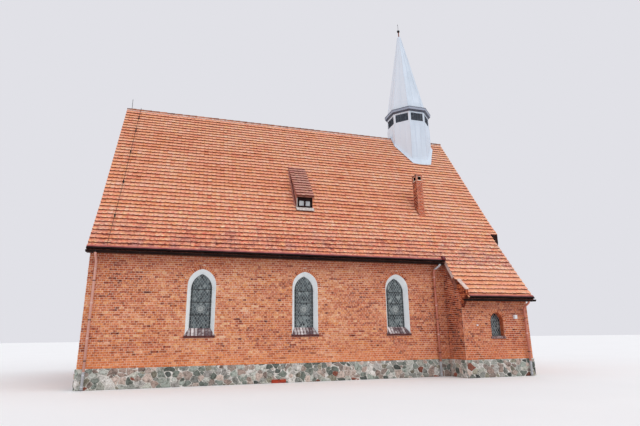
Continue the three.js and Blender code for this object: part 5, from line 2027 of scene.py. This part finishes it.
# %% Eaves strips
def eaves_strip(x0, x1, foot_y, side, lowest, highest):
    """A block from lowest to highest up the slope, over the whole length of an eaves."""
    on, _ = slope(0.0, foot_y, roof_z(foot_y), KINK_Y, KINK_Z, side)
    span = (x0, x1) if side > 0 else (-x1, -x0)
    return blocks(on, rectangles(*span, lowest, highest), 0.03, 0.078, 0.003)


EAVES = [
    (VERGE_WEST, ANNEX_VERGE - 0.01, EAVES_Y, 1), (KNEELER[1][0] + 0.01, LOWER_EAST, ANNEX_EAVES_Y, 1),
    (VERGE_WEST, LOWER_EAST, EAVES_Y, -1),
]
add_piece("eaves_sheets", [eaves_strip(*run, -0.045, 0.03) for run in EAVES], EAVES_SHEET)
add_piece("eaves_rims", [eaves_strip(*run, 0.031, 0.10) for run in EAVES], EAVES_RIM)


def eaves_end():
    """A painted plate that stands up at the east end of the nave's eaves, where the annex begins."""
    on, _ = slope(0.0, EAVES_Y, EAVES_Z, KINK_Y, KINK_Z, 1)
    plate = rectangles(ANNEX_VERGE - 0.13, ANNEX_VERGE + 0.01, 0.0, 0.2)
    return blocks(on, plate, 0.06, 0.15, 0.01)


add_piece("eaves_end", eaves_end(), EAVES_END)

# %% Lightning conductor
CONDUCTOR_X = WEST + 0.56
CONDUCTOR_POSTS = (-0.5, -1.1, -2.05, -3.2, -4.4)


def conductor(x, side):
    """A wire that stands clear of the tiles, from the ridge over the kink to the gutter, on iron posts."""
    y = np.concatenate([np.linspace(-0.02, KINK_Y, 9), np.linspace(KINK_Y, EAVES_Y + 0.02, 5)[1:]])
    z = roof_z(y) + 0.10
    path = np.stack([np.full_like(y, x), side * y, z + 0.05], 1)
    parts = [tube(path, 0.007, 6)]
    for y in CONDUCTOR_POSTS:
        foot = np.array([x, side * y, roof_z(y) + 0.04])
        parts.append(tube([foot, foot + (0, 0, 0.15)], 0.026, 8))
    return parts


wires = conductor(CONDUCTOR_X, 1) + conductor(CONDUCTOR_X, -1)
add_piece("lightning_conductor", wires, IRON)
finish_node(IRON, "lightning_rod")

# %% [markdown]
# ## West door
# The door is two leaves of upright oak boards that follow the arch, on iron strap hinges. A board is a
# block whose two top corners lie on the arch over its own sides.

# %% Door boards and ironwork
RING_R = 0.045


def door_boards(o, random):
    """Boards 12 cm wide: the top at u is spring + sqrt(R^2 - (|u| - a + R)^2)."""
    half, spring, radius = arch_circle(o.light, o.light_apex)
    edges = np.linspace(-half, half, 14)
    left, right = edges[:-1] + 0.003, edges[1:] - 0.003
    top = lambda u: spring + np.sqrt(np.maximum(radius**2 - (np.abs(u) - half + radius) ** 2, 0)) - 0.006
    corners = rectangles(left, right, o.light_sill + 0.004, 0.0)
    corners[:, 2, 1] = top(right)
    corners[:, 3, 1] = top(left)
    corners[..., 0] += o.middle
    out = PANE_FACE + 0.022 + random.uniform(-0.002, 0.002, len(left))
    return blocks(o.on, corners, PANE_FACE, out, 0.004, random.random(len(left)))


def door_iron(o):
    """Three strap hinges to a leaf, a cover strip over the meeting of the leaves, and a ring handle."""
    half = o.light / 2
    face = PANE_FACE + 0.022
    z = np.array([0.45, 1.25, 2.05]) + o.light_sill
    hinges = np.concatenate([
        rectangles(o.middle - half + 0.01, o.middle - 0.16, z, z + 0.05),
        rectangles(o.middle + 0.16, o.middle + half - 0.01, z, z + 0.05),
    ])
    strip = rectangles(o.middle - 0.03, o.middle + 0.03, o.light_sill + 0.01, o.light_apex - 0.25)
    turn = np.linspace(0, 2 * np.pi, 25)
    u, v = 0.12 + RING_R * np.cos(turn), 1.02 + RING_R * np.sin(turn)
    ring = place(o.on, o.middle + u, o.light_sill + v, face + 0.02)
    plate = rectangles(o.middle + 0.08, o.middle + 0.16, o.light_sill + 0.92, o.light_sill + 1.16)
    return [
        blocks(o.on, hinges, face - 0.002, face + 0.008, 0.002),
        blocks(o.on, strip, face - 0.002, face + 0.012, 0.003),
        blocks(o.on, plate, face - 0.002, face + 0.006, 0.002),
        tube(ring, 0.007, 8),
    ]


add_piece("door_boards", door_boards(DOOR, np.random.default_rng(191)), OAK)
add_piece("door_ironwork", door_iron(DOOR), IRON)
finish_node(OAK, "west_door")

# %% [markdown]
# A white lamp housing and a small cover plate sit on the annex's front wall. Both are plain closed
# blocks, because at their size nothing more can be made out.

# %% Fittings on the annex wall
LAMP, COVER_PLATE = (7.655, 7.795, 2.18, 2.34), (5.915, 5.995, 1.92, 1.98)
LAMP_DEPTH, PLATE_DEPTH = 0.10, 0.03
fittings = rectangles(*zip(LAMP, COVER_PLATE))
fittings = blocks(plane((0, ANNEX_FRONT, 0), X), fittings, 0.0, [LAMP_DEPTH, PLATE_DEPTH], 0.006)
add_piece("wall_fittings", fittings, WHITE)

# %% [markdown]
# ## Floor and light
# A plain pale floor carries the church. Most of the light comes from an even pale sky, which leaves no
# hard shadows. A wide, soft sun from high on the right only makes the annex's side wall and the
# corner beside it a little darker. Colours are shown as they are, with no film curve over them.

# %% Stage
FLOOR_REACH = 400.0


def add_floor():
    """One large square, a hair under the church's foot."""
    on = plane((0, 0, -0.002), X, Y)
    square = rectangles(-FLOOR_REACH, FLOOR_REACH, -FLOOR_REACH, FLOOR_REACH)
    part = blocks(on, square, -0.5, 0.0)
    floor = bpy.data.objects.new("floor", mesh_of("floor", part))
    pale = plain_finish("pale_floor", (244, 245, 245), (247, 248, 248), 0.2, 0.9, specular=0.1, depth=0.0)
    floor.data.materials.append(pale)
    bpy.context.scene.collection.objects.link(floor)
    floor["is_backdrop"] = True


def add_sun(azimuth, elevation, strength, softness):
    """A sun whose light comes from azimuth (0 is from -Y, 90 from +X) and elevation, in degrees."""
    data = bpy.data.lights.new("sun", "SUN")
    data.energy = strength
    data.angle = math.radians(softness)
    data.color = (1.0, 0.97, 0.93)
    sun = bpy.data.objects.new("sun", data)
    sun.rotation_euler = (math.radians(90 - elevation), 0, math.radians(azimuth))
    bpy.context.scene.collection.objects.link(sun)


def add_sky(colour, strength):
    """An even pale sky."""
    world = bpy.data.worlds.new("sky")
    world.use_nodes = True
    background = world.node_tree.nodes["Background"]
    background.inputs["Color"].default_value = colour
    background.inputs["Strength"].default_value = strength
    bpy.context.scene.world = world


add_floor()
add_sun(azimuth=38, elevation=50, strength=0.95, softness=60)
add_sky(linear(225, 225, 231), strength=1.0)
bpy.context.scene.view_settings.view_transform = "Standard"

# %% Sizes
print("triangles added:", triangles_added)
size = {"built": [list(corner) for corner in BUILT_BOX], "dressed": [list(corner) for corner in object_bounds()]}
print(size)
